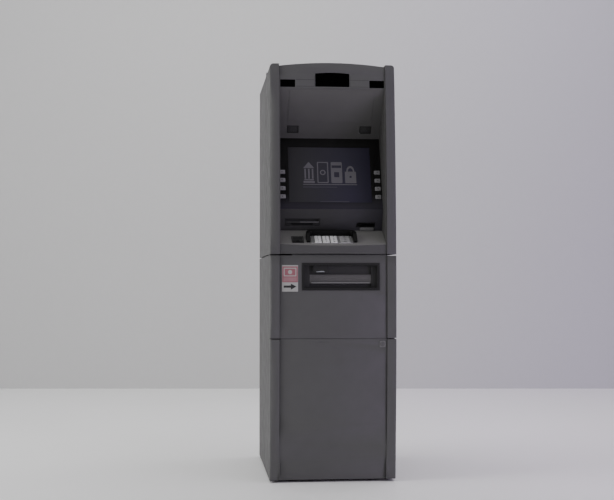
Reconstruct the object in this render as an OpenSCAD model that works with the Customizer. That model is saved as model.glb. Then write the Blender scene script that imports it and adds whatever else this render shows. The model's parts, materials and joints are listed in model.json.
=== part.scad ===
// Free-standing cash machine: a pedestal with a safe, a top box with the computer, and
// three bow-fronted front sections that swing on pivot brackets along the left edge.
// Millimetres. X runs across, the front faces -Y, +Z is up, the origin is on the floor
// under the middle of the cabinet.

/* [Cabinet] */
// Width over the two posts
body_w = 460; // [456:1:470]
// Depth from the proudest point of the front to the back
body_d = 700; // [690:5:720]
// Height of the post tops
post_h = 1524; // [1518:1:1526]
// Rise of the crown's arched top above the post tops
crown_rise = 6; // [4:0.5:8]
// Drop of the crown's ends below the post tops
crown_drop = 7; // [5:0.5:9]
// Width of each post
post_w = 34; // [32:1:36]
// Sheet thickness of casings and doors
sheet = 2; // [1.5:0.1:2.5]
// Radius of the vertical bow of the front
bow_r = 7900; // [7500:100:9000]
// Height of the proudest point of the bow
bow_z = 688; // [660:1:710]
// Set-back of the middle panels behind the posts
panel_set = 5.5; // [4:0.5:7]

/* [Front sections] */
// Top of the lower door
door_top = 518; // [510:1:524]
// Top of the dispenser door
disp_top = 821; // [821:1:821]
// Bottom of the upper fascia
fascia_z = 826; // [826:1:826]
// Plane where the lower front sections meet the pedestal
low_split = -300; // [-302:1:-298]
// Plane where the upper fascia meets the top box
top_split = -70; // [-72:1:-68]
// Gap between a front section and the box behind it
split_gap = 3; // [3:0.5:4]

/* [Customer recess] */
// Canopy front edge, as depth and height
canopy_front = [-306, 1434.5];
// Top edge of the screen bezel
bezel_top = [-173.7, 1265.8];
// Bottom edge of the screen bezel
bezel_foot = [-267.9, 994];
// Rear edge of the keypad shelf
shelf_rear = [-240, 916];
// Slope of the keypad shelf in degrees
shelf_slope = 27.8; // [26:0.1:29]
// Radius of the shelf nose
nose_r = 9; // [8:0.5:10]
// Thickness of the moulded recess panels
panel_t = 4; // [3:0.5:5]

/* [Screen] */
// Visible screen width
lcd_w = 310; // [304:1:316]
// Visible screen height
lcd_h = 225; // [222:1:228]
// Screen foot above the bezel foot, along the bezel
lcd_up = 27; // [24:1:30]
// Side key width
fdk_w = 22; // [18:1:22]
// Side key height
fdk_h = 16; // [15:1:17]
// Side key pitch along the bezel
fdk_pitch = 33; // [32.5:0.5:34]
// Lowest side key centre above the bezel foot
fdk_first = 49.5; // [49:0.5:52]
// Side key centre from the middle
fdk_x = 178; // [177:0.5:179]

/* [Keypad] */
// Centre of the keypad across the shelf
pad_x = -4; // [-6:1:-2]
// Keypad plate width
pad_w = 154; // [152:1:156]
// Keypad plate length along the shelf
pad_l = 60; // [59:1:62]
// Keypad plate's front edge above the nose, along the shelf
pad_up = 8; // [7:0.5:9]
// Number key width
key_w = 24; // [22:1:25]
// Function key width
fn_w = 36; // [34:1:37]
// Key length along the shelf
key_l = 11; // [10:0.5:11.5]
// Key row pitch
row_pitch = 14; // [13.5:0.5:14.5]
// Number column pitch
col_pitch = 29; // [28:0.5:29.5]

/* [Cash dispenser] */
// Middle of the dispenser bezel across the door
disp_x = 26.5; // [24:0.5:32]
// Dispenser bezel width
disp_w = 283; // [276:1:284]
// Dispenser bezel foot height
disp_z = 695; // [692:1:698]
// Dispenser bezel height
disp_h = 99; // [97:1:100]
// Shutter width between its guides
shutter_w = 225; // [220:1:226]
// Shutter height
shutter_h = 32; // [31:0.5:33]

/* [Safe] */
// Safe wall thickness
safe_t = 12; // [10:1:12]
// Safe width
safe_w = 392; // [388:1:392]
// Safe front plane
safe_front = -262; // [-264:1:-260]
// Safe back plane
safe_back = 338; // [330:1:340]
// Safe top
safe_top = 812; // [806:1:814]
// Half width of the safe door opening
safe_open = 171.5; // [171:0.5:172]
// Bottom of the safe door opening
safe_low = 44; // [42:1:48]
// Top of the safe door opening
safe_high = 500; // [496:1:504]

/* [Hidden] */
$fn = 96;
PADS = [for (i = [1:16]) str("key_", i)];
FDKS = [for (i = [1:8]) str("fdk_", i)];

half_w = body_w / 2;
front_y = -body_d / 2;
back_y = body_d / 2;
post_in = half_w - post_w;      // inner face of each post
corner_r = 5;                   // outer front corner of the posts
liner_x = post_in - 3;          // half width of the panels between the recess cheeks
floor_z = 8;                    // underside of the pedestal floor
floor_t = 4;
door_z = 10;                    // underside of the lower door
mid_gap = 4;                    // between the lower door and the dispenser door
deck_z = 822;                   // top of the pedestal deck
top_back = back_y - 4;          // back of the top box
top_z = post_h - 13;            // top of the top box walls
top_plate_z = post_h + 1;       // underside of the pivot plate over the fascia
flange = 28;                    // inward flanges along the box fronts
pin_x = -half_w + 6;            // pivot axis of the three front sections
pin_back = 8;                   // pivot axis in front of the split plane
pin_r = 4;
run_fit = 0.05;                 // radial clearance of every pin in its bore
low_pin_y = low_split - pin_back;
top_pin_y = top_split - pin_back;

// Nose of the shelf: the slope is tangent to the nose circle.
nose_y = front_y + 0.5 + nose_r;
nose_z = shelf_rear[1] - (shelf_rear[0] - nose_y + nose_r * sin(shelf_slope))
    * tan(shelf_slope) - nose_r * cos(shelf_slope);
shelf_edge = [nose_y - nose_r * sin(shelf_slope), nose_z + nose_r * cos(shelf_slope)];
nose_foot = fascia_z + 1;       // underside of the shelf nose
plan_r = 2500;                  // plan curve of the shelf nose

// Columns and rows of the keypad, in the shelf's own plane
fn_gap = 12;                    // extra space before the function keys
col_x = [for (c = [0:3]) pad_x - 50 + c * col_pitch + (c < 3 ? 0 : fn_gap)];
row_y = [for (r = [0:3]) pad_up + pad_l / 2 + (1.5 - r) * row_pitch];
key_fit = 0.5;                  // gap round every key

safe_hinge = [-171, safe_front - 8];
rear_hinge = [190, top_back];
handle_c = [70, 270];
dial_c = [-40, 350];
bolt_rows = [120, 270, 420];
lock_c = [178.8, 500];
cassette_w = 260;
cassette_d = 365;
cassette_h = 170;
slot_z = 732;                   // middle of the cash slot
slot_h = 10;
slot_w = 190;
roll_c = [-125, 1062];          // paper roll axis, as depth and height
roll_x = -112;
shutter_z = 720;                // foot of the closed shutter
lamp = [115, 23, 159, 55];      // opening of a canopy lamp: inner, low, outer, high
window_low = [1440.5, 1438];    // feet of the middle and the outer crown windows
window_top = [1489.5, 1465.5];  // their heads, the middle one arched above this
window_rise = 3.5;

plastic = "#4b4a50";
dark = "#17171c";
steel = "#8d9096";

// ---- shared shapes ----

// A box between two corners.
module block(a, b) { translate(a) cube(b - a); }

// A plan outline with both front corners rounded.
module front_plan(x0, x1, y0, y1, r) {
    translate([x0, y0 + r]) square([x1 - x0, y1 - y0 - r]);
    translate([x0 + r, y0]) square([x1 - x0 - 2 * r, r + 1]);
    for (x = [x0 + r, x1 - r]) translate([x, y0 + r]) circle(r);
}

// Sweeps a plan outline up the bow of the front, between two heights.
module bowed(z0, z1) {
    intersection() {
        translate([0, bow_r + front_y, bow_z]) rotate([90, 0, -90])
            rotate_extrude(angle = 13, start = -6, $fn = 900)
                translate([bow_r + front_y, 0]) mirror([1, 1, 0]) children();
        block([-half_w - 1, front_y - 1, z0], [half_w + 1, 0, z1]);
    }
}

// Stands a depth-height outline up between two X planes.
module across(x0, x1) {
    translate([x0, 0, 0]) rotate([90, 0, 90]) linear_extrude(x1 - x0) children();
}

// Works in the plane of a recess panel: X across, Y from edge p up to edge q, Z outward.
module on_face(p, q) {
    translate([0, p[0], p[1]]) rotate([atan2(q[1] - p[1], q[0] - p[0]), 0, 0]) children();
}
module on_shelf() { on_face(shelf_edge, shelf_rear) children(); }
module on_mid() { on_face(shelf_rear, bezel_foot) children(); }
module on_bezel() { on_face(bezel_foot, bezel_top) children(); }
module on_canopy() { on_face(bezel_top, canopy_front) children(); }

// A rod along Y, from y0 to y1.
module rod_y(x, z, y0, y1, r) {
    translate([x, y0, z]) rotate([-90, 0, 0]) cylinder(h = y1 - y0, r = r);
}
// A rod along X.
module rod_x(y, z, x0, x1, r) {
    translate([x0, y, z]) rotate([0, 90, 0]) cylinder(h = x1 - x0, r = r);
}
// A rod along Z.
module rod_z(x, y, z0, z1, r) { translate([x, y, z0]) cylinder(h = z1 - z0, r = r); }

// A rectangle with round corners, from one corner to the other.
module round_rect(a, b, r) {
    translate([a[0] + r, a[1]]) square([b[0] - a[0] - 2 * r, b[1] - a[1]]);
    translate([a[0], a[1] + r]) square([b[0] - a[0], b[1] - a[1] - 2 * r]);
    for (x = [a[0] + r, b[0] - r], y = [a[1] + r, b[1] - r]) translate([x, y]) circle(r);
}

// Both sides of the cabinet: the child and its mirror image.
module both() {
    children();
    mirror([1, 0, 0]) children();
}

// Mitred inner corner of the recess line at point i, panel_t behind the face.
recess = [canopy_front, bezel_top, bezel_foot, shelf_rear, shelf_edge];
function inward(i) = let (d = recess[i + 1] - recess[i]) [-d[1], d[0]] / norm(d);
function inner(i) =
    i == 0 ? recess[0] + inward(0) * panel_t :
    i == 4 ? recess[4] + inward(3) * panel_t :
    let (a = inward(i - 1), b = inward(i)) recess[i] + (a + b) / (1 + a * b) * panel_t;

// One straight panel of the recess, between points i and i + 1 of its line.
module recess_panel(i) {
    across(-liner_x, liner_x) polygon([recess[i], recess[i + 1], inner(i + 1), inner(i)]);
}

// ---- front sections ----

// One post between two heights, an open-backed sheet channel with closed ends.
module post(z0, z1, split, cap_r) {
    edge = split - split_gap;
    intersection() {
        difference() {
            bowed(z0, z1) intersection() {
                front_plan(-half_w, half_w, front_y, 60, corner_r);
                translate([post_in, front_y - 1]) square([post_w, 500]);
            }
            bowed(z0 + sheet, z1 - sheet) intersection() {
                front_plan(-half_w + sheet, half_w - sheet, front_y + sheet, 60,
                    corner_r - sheet);
                translate([post_in + sheet, front_y - 1]) square([post_w - 2 * sheet, 500]);
            }
        }
        translate([0, edge, 0]) rotate([90, 0, 0]) linear_extrude(400)
            round_rect([post_in - 20, z0 - 20], [half_w, z1], cap_r);
    }
}

// Pivot block at the left edge of a front section, bored for the pin.
module pivot_block(pin_y, z0, z1) {
    difference() {
        block([-half_w + 1, pin_y - 9, z0], [pin_x + 12, pin_y + pin_back - split_gap, z1]);
        rod_z(pin_x, pin_y, z0 - 1, z1 + 1, pin_r + run_fit);
    }
}
module pivot_bore(pin_y, z0, z1) { rod_z(pin_x, pin_y, z0, z1, pin_r + run_fit); }

// The middle panel of a lower front section, a tray open to the back.
module panel_tray(z0, z1) {
    gap = 1.25;
    edge = low_split - split_gap;
    intersection() {
        difference() {
            bowed(z0, z1) translate([-post_in + gap, front_y + panel_set])
                square([2 * (post_in - gap), 400]);
            bowed(z0 + sheet, z1 - sheet)
                translate([-post_in + gap + sheet, front_y + panel_set + sheet])
                    square([2 * (post_in - gap - sheet), 400]);
        }
        block([-half_w, front_y - 1, z0], [half_w, edge, z1]);
    }
    both() block([post_in - gap - 0.5, -326, z0], [post_in + 0.5, -322, z1]);
}

// A lower front section with its posts, middle panel and pivot blocks.
module front_section(z0, z1) {
    difference() {
        union() {
            both() post(z0, z1, low_split, 1);
            panel_tray(z0, z1);
            pivot_block(low_pin_y, z0, z0 + 14);
            pivot_block(low_pin_y, z1 - 14, z1);
        }
        pivot_bore(low_pin_y, z0 - 1, z0 + 15);
        pivot_bore(low_pin_y, z1 - 15, z1 + 1);
    }
}

module lower_door() {
    color(plastic) difference() {
        union() {
            front_section(door_z, door_top);
            rod_y(lock_c[0], lock_c[1], -341, -305, 12);
            // finger catch under the top edge
            block([-56, -330, door_top - 16], [-26, -318, door_top - 1]);
        }
        rod_y(lock_c[0], lock_c[1], -360, -290, 8 + run_fit);
        block([-53, -360, door_top - 14], [-29, -341, door_top - 8]);
        // two drain holes in the bottom plate
        for (x = [-120, 120]) rod_z(x, -320, door_z - 1, door_z + 3, 4);
    }
}

module door_lock() {
    color(steel) difference() {
        union() {
            rod_y(lock_c[0], lock_c[1], -344.5, -298, 8);
            rod_y(lock_c[0], lock_c[1], -346.5, -344.5, 8);
            rod_y(lock_c[0], lock_c[1], -304, -293, 6);
            // cam, hanging down when unlocked
            block([lock_c[0] - 7, -297, lock_c[1] - 28], [lock_c[0] + 7, -294, lock_c[1]]);
        }
        block([lock_c[0] - 0.9, -348, lock_c[1] - 4.5], [lock_c[0] + 0.9, -343, lock_c[1] + 4.5]);
    }
}

module dispenser_door() {
    color(plastic) difference() {
        front_section(door_top + mid_gap, disp_top);
        block([disp_x - disp_w / 2 + 4, -360, disp_z + 4],
            [disp_x + disp_w / 2 - 4, -310, disp_z + disp_h - 4]);
    }
}

// Black surround of the cash outlet, a deep tub with a slot in its back wall.
module dispenser_bezel() {
    x0 = disp_x - disp_w / 2;
    x1 = disp_x + disp_w / 2;
    z0 = disp_z;
    z1 = disp_z + disp_h;
    in = 9;
    color(dark) difference() {
        union() {
            block([x0, -346.5, z0], [x1, -344.6, z1]);
            block([x0 + 4.2, -345, z0 + 4.2], [x1 - 4.2, -318, z1 - 4.2]);
            block([disp_x - slot_w / 2 - 6, -319, slot_z - 12],
                [disp_x + slot_w / 2 + 6, -307, slot_z + 12]);
        }
        difference() {
            block([x0 + in, -350, z0 + in], [x1 - in, -322, z1 - in]);
            // guides that hold the shutter's edges
            for (x = [x0 + in - 1, disp_x + shutter_w / 2])
                block([x, -331, z0], [x + disp_w / 2 - shutter_w / 2 - in + 1, -328, z1]);
            // status lamp ledge above the shutter
            block([disp_x - 95, -331, z1 - 15], [disp_x - 55, -321, z1 - in + 1]);
        }
        block([disp_x - slot_w / 2, -330, slot_z - 7], [disp_x + slot_w / 2, -300, slot_z + 7]);
    }
}

module dispenser_shutter() {
    z0 = shutter_z;
    x0 = disp_x - shutter_w / 2;
    color("#5a595f") {
        block([x0 - 3, -327.5, z0], [x0 + shutter_w + 3, -322.6, z0 + shutter_h]);
        block([x0 + 6, -337, z0], [x0 + shutter_w - 6, -327, z0 + 4]);
        block([x0 + 1, -330, z0 + shutter_h - 2], [x0 + shutter_w - 1, -327, z0 + shutter_h]);
    }
}

module fascia_posts() {
    color(plastic) difference() {
        union() {
            both() post(fascia_z, post_h, top_split, 14);
            pivot_block(top_pin_y, fascia_z, fascia_z + 14);
            intersection() {
                pivot_block(top_pin_y, post_h - 16, post_h - 1);
                block([-half_w + 1, top_pin_y - 9, 0], [0, 0, post_h - 3]);
            }
        }
        pivot_bore(top_pin_y, fascia_z - 1, fascia_z + 15);
        pivot_bore(top_pin_y, post_h - 17, post_h + 1);
    }
}

// Front outline of the crown: an arched top over a flat foot.
module crown_outline(inset) {
    side = post_h - crown_drop - inset;
    apex = post_h + crown_rise - inset;
    half = post_in - inset;
    rise = apex - side;
    r = (half * half + rise * rise) / (2 * rise);
    intersection() {
        translate([-half, canopy_front[1]]) square([2 * half, 200]);
        translate([0, apex - r]) circle(r, $fn = 720);
    }
}
module crown_window_outlines(grow) {
    half = 63 + grow;
    apex = window_top[0] + window_rise + grow;
    r = (half * half + window_rise * window_rise) / (2 * window_rise);
    intersection() {
        translate([-half, window_low[0] - grow]) square([2 * half, 200]);
        translate([0, apex - r]) circle(r, $fn = 720);
    }
    both() translate([137 - grow, window_low[1] - grow])
        square([54.7 + 2 * grow, window_top[1] - window_low[1] + 2 * grow]);
}
module facing(y0, y1) {
    translate([0, y1, 0]) rotate([90, 0, 0]) linear_extrude(y1 - y0) children();
}
module crown() {
    edge = top_split - split_gap;
    skin = 2.5;
    color(plastic) difference() {
        intersection() {
            bowed(canopy_front[1], post_h + 20)
                translate([-post_in, front_y + panel_set]) square([2 * post_in, 500]);
            facing(front_y, edge) crown_outline(0);
        }
        intersection() {
            bowed(canopy_front[1] - 1, post_h + 20)
                translate([-post_in, front_y + panel_set + skin]) square([2 * post_in, 500]);
            facing(front_y, edge - 3) union() {
                crown_outline(skin);
                translate([-post_in + skin, canopy_front[1] - 5])
                    square([2 * (post_in - skin), 20]);
            }
        }
        facing(-340, -290) crown_window_outlines(0);
        // rear web is cut away below the top box cover, for cables
        block([-150, edge - 10, 1400], [150, edge + 1, post_h - 30]);
    }
}
module crown_windows() {
    color("black") intersection() {
        bowed(canopy_front[1] + 2.6, post_h)
            translate([-post_in, front_y + panel_set + 2.5]) square([2 * post_in, 3]);
        facing(-340, -290) crown_window_outlines(1.2);
    }
}

// Moulded liner of the customer recess: sloping canopy and two cheeks.
module recess_liner() {
    color("#55545a") {
        difference() {
            union() {
                recess_panel(0);
                on_canopy() block([-157, 74, -1], [157, 206, 1.2]);
            }
            on_canopy() both() block([lamp[0], lamp[1], -10], [lamp[2], lamp[3], 5]);
        }
        both() intersection() {
            across(liner_x, post_in) polygon(concat([[-380, canopy_front[1]]], recess,
                [[-380, shelf_edge[1]]]));
            bowed(shelf_edge[1], canopy_front[1]) translate([-half_w, front_y + panel_set + 0.5])
                square([body_w, 400]);
        }
    }
}
module canopy_lamps() {
    color("#2c2c30") on_canopy() both() {
        block([lamp[0] - 2, lamp[1] - 2, -panel_t - 3], [lamp[2] + 2, lamp[3] + 2, -panel_t]);
        block([lamp[0] + 2, lamp[1] + 2, -panel_t - 1],
            [lamp[2] - 2, lamp[3] - 2, -panel_t + 1.5]);
    }
}

module screen_bezel() {
    color(dark) difference() {
        recess_panel(1);
        on_bezel() {
            block([-lcd_w / 2, lcd_up, -20], [lcd_w / 2, lcd_up + lcd_h, 5]);
            for (i = [0:3]) both() translate([0, 0, -20]) linear_extrude(30)
                round_rect([fdk_x - fdk_w / 2 - key_fit, fdk_y(i) - fdk_h / 2 - key_fit],
                    [fdk_x + fdk_w / 2 + key_fit, fdk_y(i) + fdk_h / 2 + key_fit], 3.5);
        }
    }
}
function fdk_y(i) = fdk_first + i * fdk_pitch;

module display_panel() {
    x = lcd_w / 2;
    color("#2a2a38") on_bezel() {
        block([-x - 2.5, lcd_up - 10, -34], [x + 2.5, lcd_up + lcd_h + 8, -panel_t - 0.2]);
        block([-x + 0.5, lcd_up + 0.5, -panel_t - 1], [x - 0.5, lcd_up + lcd_h - 0.5, -2]);
        // key boards beside the screen
        both() block([x + 2, fdk_y(0) - 14, -30], [x + 30, fdk_y(3) + 14, -16.5]);
    }
}

// Side keys 1 to 4 stand at the left and 5 to 8 at the right, from the top down.
module fdk(n) {
    i = 3 - (n - 1) % 4;
    side = n <= 4 ? -1 : 1;
    y = fdk_y(i);
    color("#b9b8bf") on_bezel() translate([side * fdk_x, y, 0]) {
        translate([0, 0, -7]) linear_extrude(9.5)
            round_rect([-fdk_w / 2, -fdk_h / 2], [fdk_w / 2, fdk_h / 2], 3);
        block([-fdk_w / 2 - 1.2, -fdk_h / 2 - 1.2, -7], [fdk_w / 2 + 1.2, fdk_h / 2 + 1.2, -5.2]);
        translate([0, 0, -13.8]) cylinder(h = 8, r = 4);
    }
}

// Openings of the printer and the card reader: left, foot, right and top in the middle panel
receipt = [-171, 18, -41, 46];
card = [96, 13, 166, 31];
module mid_panel() {
    color("#3d3c42") difference() {
        recess_panel(2);
        on_mid() {
            block([receipt[0], receipt[1], -20], [receipt[2], receipt[3], 5]);
            block([card[0], card[1], -20], [card[2], card[3], 5]);
        }
    }
}

// Motor card reader: recessed throat, light pipe lip and the reader body.
module card_reader() {
    mid = (card[0] + card[2]) / 2;
    color("#26262c") on_mid() difference() {
        union() {
            block([card[0] + 0.5, card[1] + 0.5, -14], [card[2] - 0.5, card[3] - 0.5, -1]);
            block([card[0] + 4, card[1] - 3, -122], [card[2] - 4, card[3] + 6, -13]);
            // lip below the mouth, carried on a tongue through the opening
            block([card[0] + 14, card[1] - 11, 0], [card[2] - 2, card[1] + 2.5, 4]);
            block([card[0] + 14, card[1] + 0.5, -2], [card[2] - 2, card[1] + 2.5, 1]);
        }
        block([card[0] + 3, card[1] + 3, -10], [card[2] - 3, card[3] - 3, 1]);
        block([mid - 28, card[1] + 9, -110], [mid + 28, card[1] + 13.5, 1]);
    }
}

// Receipt printer with its throat plate, and the two cheeks that carry the paper roll.
module receipt_printer() {
    mid = (receipt[0] + receipt[2]) / 2;
    color("#35353b") {
        on_mid() difference() {
            union() {
                block([receipt[0] + 0.5, receipt[1] + 0.5, -12],
                    [receipt[2] - 0.5, receipt[3] - 0.5, -1]);
                block([receipt[0] + 6, 5, -110], [receipt[2] - 6, 55, -11]);
            }
            block([receipt[0] + 4, receipt[1] + 11, -8], [receipt[2] - 4, receipt[3] - 3, 1]);
            block([mid - 41, receipt[1] + 4, -60], [mid + 41, receipt[1] + 8.5, 1]);
        }
        for (x = [roll_x - 46, roll_x + 43]) across(x, x + 3) {
            translate(roll_c) circle(13);
            polygon([[-165, 985], [-150, 962], [roll_c[0] + 12, roll_c[1] - 4],
                [roll_c[0] - 12, roll_c[1] + 4]]);
        }
        rod_x(roll_c[0], roll_c[1], roll_x - 46, roll_x + 46, 6);
    }
}
module paper_roll() {
    color("white") difference() {
        rod_x(roll_c[0], roll_c[1], roll_x - 40, roll_x + 40, 38);
        rod_x(roll_c[0], roll_c[1], roll_x - 41, roll_x + 41, 6 + run_fit);
    }
}

// Depth-height outline of the shelf and its nose, shrunk by inset.
module shelf_outline(inset) {
    up = [sin(shelf_slope), -cos(shelf_slope)] * inset;
    foot = nose_foot + inset;
    rear = top_split - split_gap;
    difference() {
        union() {
            polygon([shelf_edge + up, shelf_rear + up, [shelf_rear[0] + 10, foot],
                [nose_y, foot], [nose_y, nose_z]]);
            translate([front_y + 0.5 + inset, foot + 4]) square([nose_r, nose_z - foot - 4]);
            translate([front_y + 4.5 + inset, foot]) square([nose_r, 5]);
            translate([nose_y, nose_z]) circle(nose_r - inset);
            translate([front_y + 4.5 + inset, foot + 4]) circle(4);
            if (inset == 0) translate([nose_y, foot]) square([rear - nose_y, 3]);
        }
        if (inset > 0) translate([front_y - 10, foot - 20]) square([400, 20]);
    }
}
// Audio panel on the shelf: left, front, right and rear
audio = [-150, 12, -106, 66];
module keypad_shelf() {
    color(plastic) difference() {
        intersection() {
            across(-post_in, post_in) shelf_outline(0);
            rod_z(0, front_y + 0.5 + plan_r, 800, 1000, plan_r, $fn = 1440);
        }
        intersection() {
            across(-liner_x, liner_x) shelf_outline(panel_t);
            rod_z(0, front_y + 0.5 + plan_r, 800, 1000, plan_r - panel_t, $fn = 1440);
        }
        on_shelf() {
            block([pad_x - pad_w / 2 + 2, pad_up + 2, -20],
                [pad_x + pad_w / 2 - 2, pad_up + pad_l - 2, 5]);
            block([audio[0] + 2, audio[1] + 2, -20], [audio[2] - 2, audio[3] - 2, 5]);
        }
    }
}

function key_x(n) = col_x[(n - 1) % 4];
function key_y(n) = row_y[floor((n - 1) / 4)];
function key_width(n) = (n - 1) % 4 == 3 ? fn_w : key_w;

// Metal plate of the keypad with a sealed box of wells below it.
module keypad_base() {
    color(steel) on_shelf() difference() {
        union() {
            linear_extrude(1.2)
                round_rect([pad_x - pad_w / 2, pad_up], [pad_x + pad_w / 2, pad_up + pad_l], 4);
            block([pad_x - pad_w / 2 + 2.5, pad_up + 2.5, -28],
                [pad_x + pad_w / 2 - 2.5, pad_up + pad_l - 2.5, 1]);
        }
        for (n = [1:16]) translate([0, 0, -9]) linear_extrude(20)
            round_rect([key_x(n) - key_width(n) / 2 - key_fit, key_y(n) - key_l / 2 - key_fit],
                [key_x(n) + key_width(n) / 2 + key_fit, key_y(n) + key_l / 2 + key_fit], 2.5);
    }
}

// Keys run 1 to 16 in rows from the rear, the fourth of each row being a wide function key.
module key(n) {
    w = key_width(n);
    color("#c9c9cd") on_shelf() translate([key_x(n), key_y(n), -6]) linear_extrude(10)
        round_rect([-w / 2, -key_l / 2], [w / 2, key_l / 2], 2);
}

// Hood over the keypad: a rear wall and two broad arms that fall towards the customer.
module keypad_shield() {
    arm = 14;                   // thickness of each arm
    wall = 12;                  // thickness of the rear wall
    tip = 16;                   // front ends of the arms, along the shelf
    high = 22;
    x0 = pad_x - pad_w / 2 - arm - 2;
    x1 = pad_x + pad_w / 2 + arm + 2;
    y1 = pad_up + pad_l + wall + 2;
    color("#121216") on_shelf() intersection() {
        linear_extrude(high + 1) difference() {
            round_rect([x0, tip - 60], [x1, y1], 24);
            round_rect([x0 + arm, tip - 60], [x1 - arm, y1 - wall], 10);
            translate([x0 - 1, tip - 61]) square([x1 - x0 + 2, 61]);
        }
        across(x0 - 1, x1 + 1)
            polygon([[tip - 1, 0], [tip - 1, 7], [52, high], [y1 + 1, high], [y1 + 1, 0]]);
    }
}

module audio_panel() {
    mid = (audio[0] + audio[2]) / 2;
    color("#77767c") on_shelf() difference() {
        union() {
            linear_extrude(1.5) round_rect([audio[0], audio[1]], [audio[2], audio[3]], 3);
            block([audio[0] + 2.5, audio[1] + 2.5, -22], [audio[2] - 2.5, audio[3] - 2.5, 1]);
        }
        translate([mid, audio[1] + 12, -14]) cylinder(h = 20, r = 3.2);
        translate([0, 0, 0.6]) linear_extrude(5)
            round_rect([audio[0] + 5, audio[1] + 24], [audio[2] - 5, audio[3] - 5], 3);
    }
}

// ---- cabinet ----

module leveling_feet() {
    color(steel) both() for (y = [-250, 310]) {
        rod_z(half_w - 18, y, 0, 4, 16);
        rod_z(half_w - 18, y, 3, floor_z, 12);
        rod_z(half_w - 18, y, floor_z - 1, floor_z + floor_t + 6, 5);
        rod_z(half_w - 18, y, floor_z + floor_t, floor_z + floor_t + 4, 9, $fn = 6);
    }
}

module pedestal_shell() {
    w = half_w;
    color(plastic) difference() {
        union() {
            both() block([w - sheet, low_split, floor_z], [w, back_y, deck_z]);
            block([-w, back_y - sheet, floor_z], [w, back_y, deck_z]);
            block([-w, low_split, floor_z], [w, back_y, floor_z + floor_t]);
            block([-w, low_split, deck_z - 3], [w, back_y, deck_z]);
            both() block([w - flange, low_split, floor_z], [w, low_split + sheet, deck_z]);
            // cross rail between the lower door and the dispenser door
            block([-w, low_split, door_top - 8], [w, low_split + sheet, door_top + 12]);
        }
        for (x = [-1, 1], y = [-250, 310]) rod_z(x * (w - 18), y, 0, 20, 5.5);
        anchor_holes();
        // cable way from the safe to the top box
        rod_z(150, 240, deck_z - 10, deck_z + 10, 30);
    }
}
// Four anchor bolt holes through the floors of the pedestal and the safe.
module anchor_holes() {
    for (x = [-140, 140], y = [-180, 260]) rod_z(x, y, 0, 40, 7);
}

module topbox_shell() {
    w = half_w;
    z0 = fascia_z;
    color(plastic) difference() {
        union() {
            both() block([w - sheet, top_split, z0], [w, top_back, top_z]);
            block([-w, top_back - sheet, z0], [w, top_back, top_z]);
            block([-w, top_split, z0], [w, top_back, z0 + 3]);
            block([-w + 8, top_split + 8, deck_z], [w - 8, top_back - 8, z0 + 1]);
            both() block([w - flange, top_split, z0], [w, top_split + sheet, top_z]);
            block([-w, top_split, top_z - 20], [w, top_split + sheet, top_z]);
            for (z = [960, 1400]) rod_z(rear_hinge[0], rear_hinge[1], z + 30, z + 60, 4);
            for (z = [960, 1400]) rod_z(rear_hinge[0], rear_hinge[1], z + 2, z + 40, 2);
        }
        // opening of the service door, with room for its knuckles
        block([-190, top_back - 10, 870], [190, top_back + 1, 1490]);
        for (z = [960, 1400]) difference() {
            block([189, top_back - 6, z - 1], [195, top_back + 6, z + 30]);
            rod_z(rear_hinge[0], rear_hinge[1], z, z + 31, 2);
        }
        // power inlet and cable way
        block([-186, top_back - 10, 836], [-152, top_back + 1, 862]);
        rod_z(150, 240, deck_z - 10, z0 + 10, 30);
        // cable hole through the front cross rail
        block([120, top_split - 1, top_z - 14], [180, top_split + 5, top_z - 6]);
    }
    // the hinge knuckles stand on the frame beside the opening
    color(steel) for (z = [990, 1430])
        block([190.5, top_back - 1.5, z], [196, top_back + 1.5, z + 30]);
}

module rear_door() {
    color(plastic) difference() {
        union() {
            block([-188, top_back - sheet, 872], [188, top_back, 1488]);
            both() block([184, top_back - 12, 874], [186, top_back - 1, 1486]);
            block([-186, top_back - 12, 874], [186, top_back - 1, 876]);
            block([-186, top_back - 12, 1484], [186, top_back - 1, 1486]);
            for (z = [960, 1400]) {
                rod_z(rear_hinge[0], rear_hinge[1], z, z + 29, 4);
                block([180, top_back - 1.5, z], [189, top_back + 1.5, z + 29]);
            }
        }
        for (z = [960, 1400]) {
            rod_z(rear_hinge[0], rear_hinge[1], z - 1, z + 30, 2 + run_fit);
            // room for the frame's knuckles
            block([182, top_back - 14, z + 29], [200, top_back + 6, z + 61]);
        }
        // louvres
        for (i = [0:11]) block([-120, top_back - 5, 1300 + i * 12], [40, top_back + 1, 1305 + i * 12]);
        // finger hole at the free side
        translate([-160, top_back - 6, 1180]) rotate([-90, 0, 0]) cylinder(h = 8, r = 14);
    }
}

// Lid of the top box, with a rim that drops inside its walls.
module top_cover() {
    w = half_w;
    color(plastic) {
        block([-w, top_split, top_z], [w, top_back, top_z + sheet]);
        difference() {
            block([-w + 3, top_split + 4, top_z - 9], [w - 3, top_back - 4, top_z + 1]);
            block([-w + 5, top_split + 6, top_z - 20], [w - 5, top_back - 6, top_z]);
        }
    }
}

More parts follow.
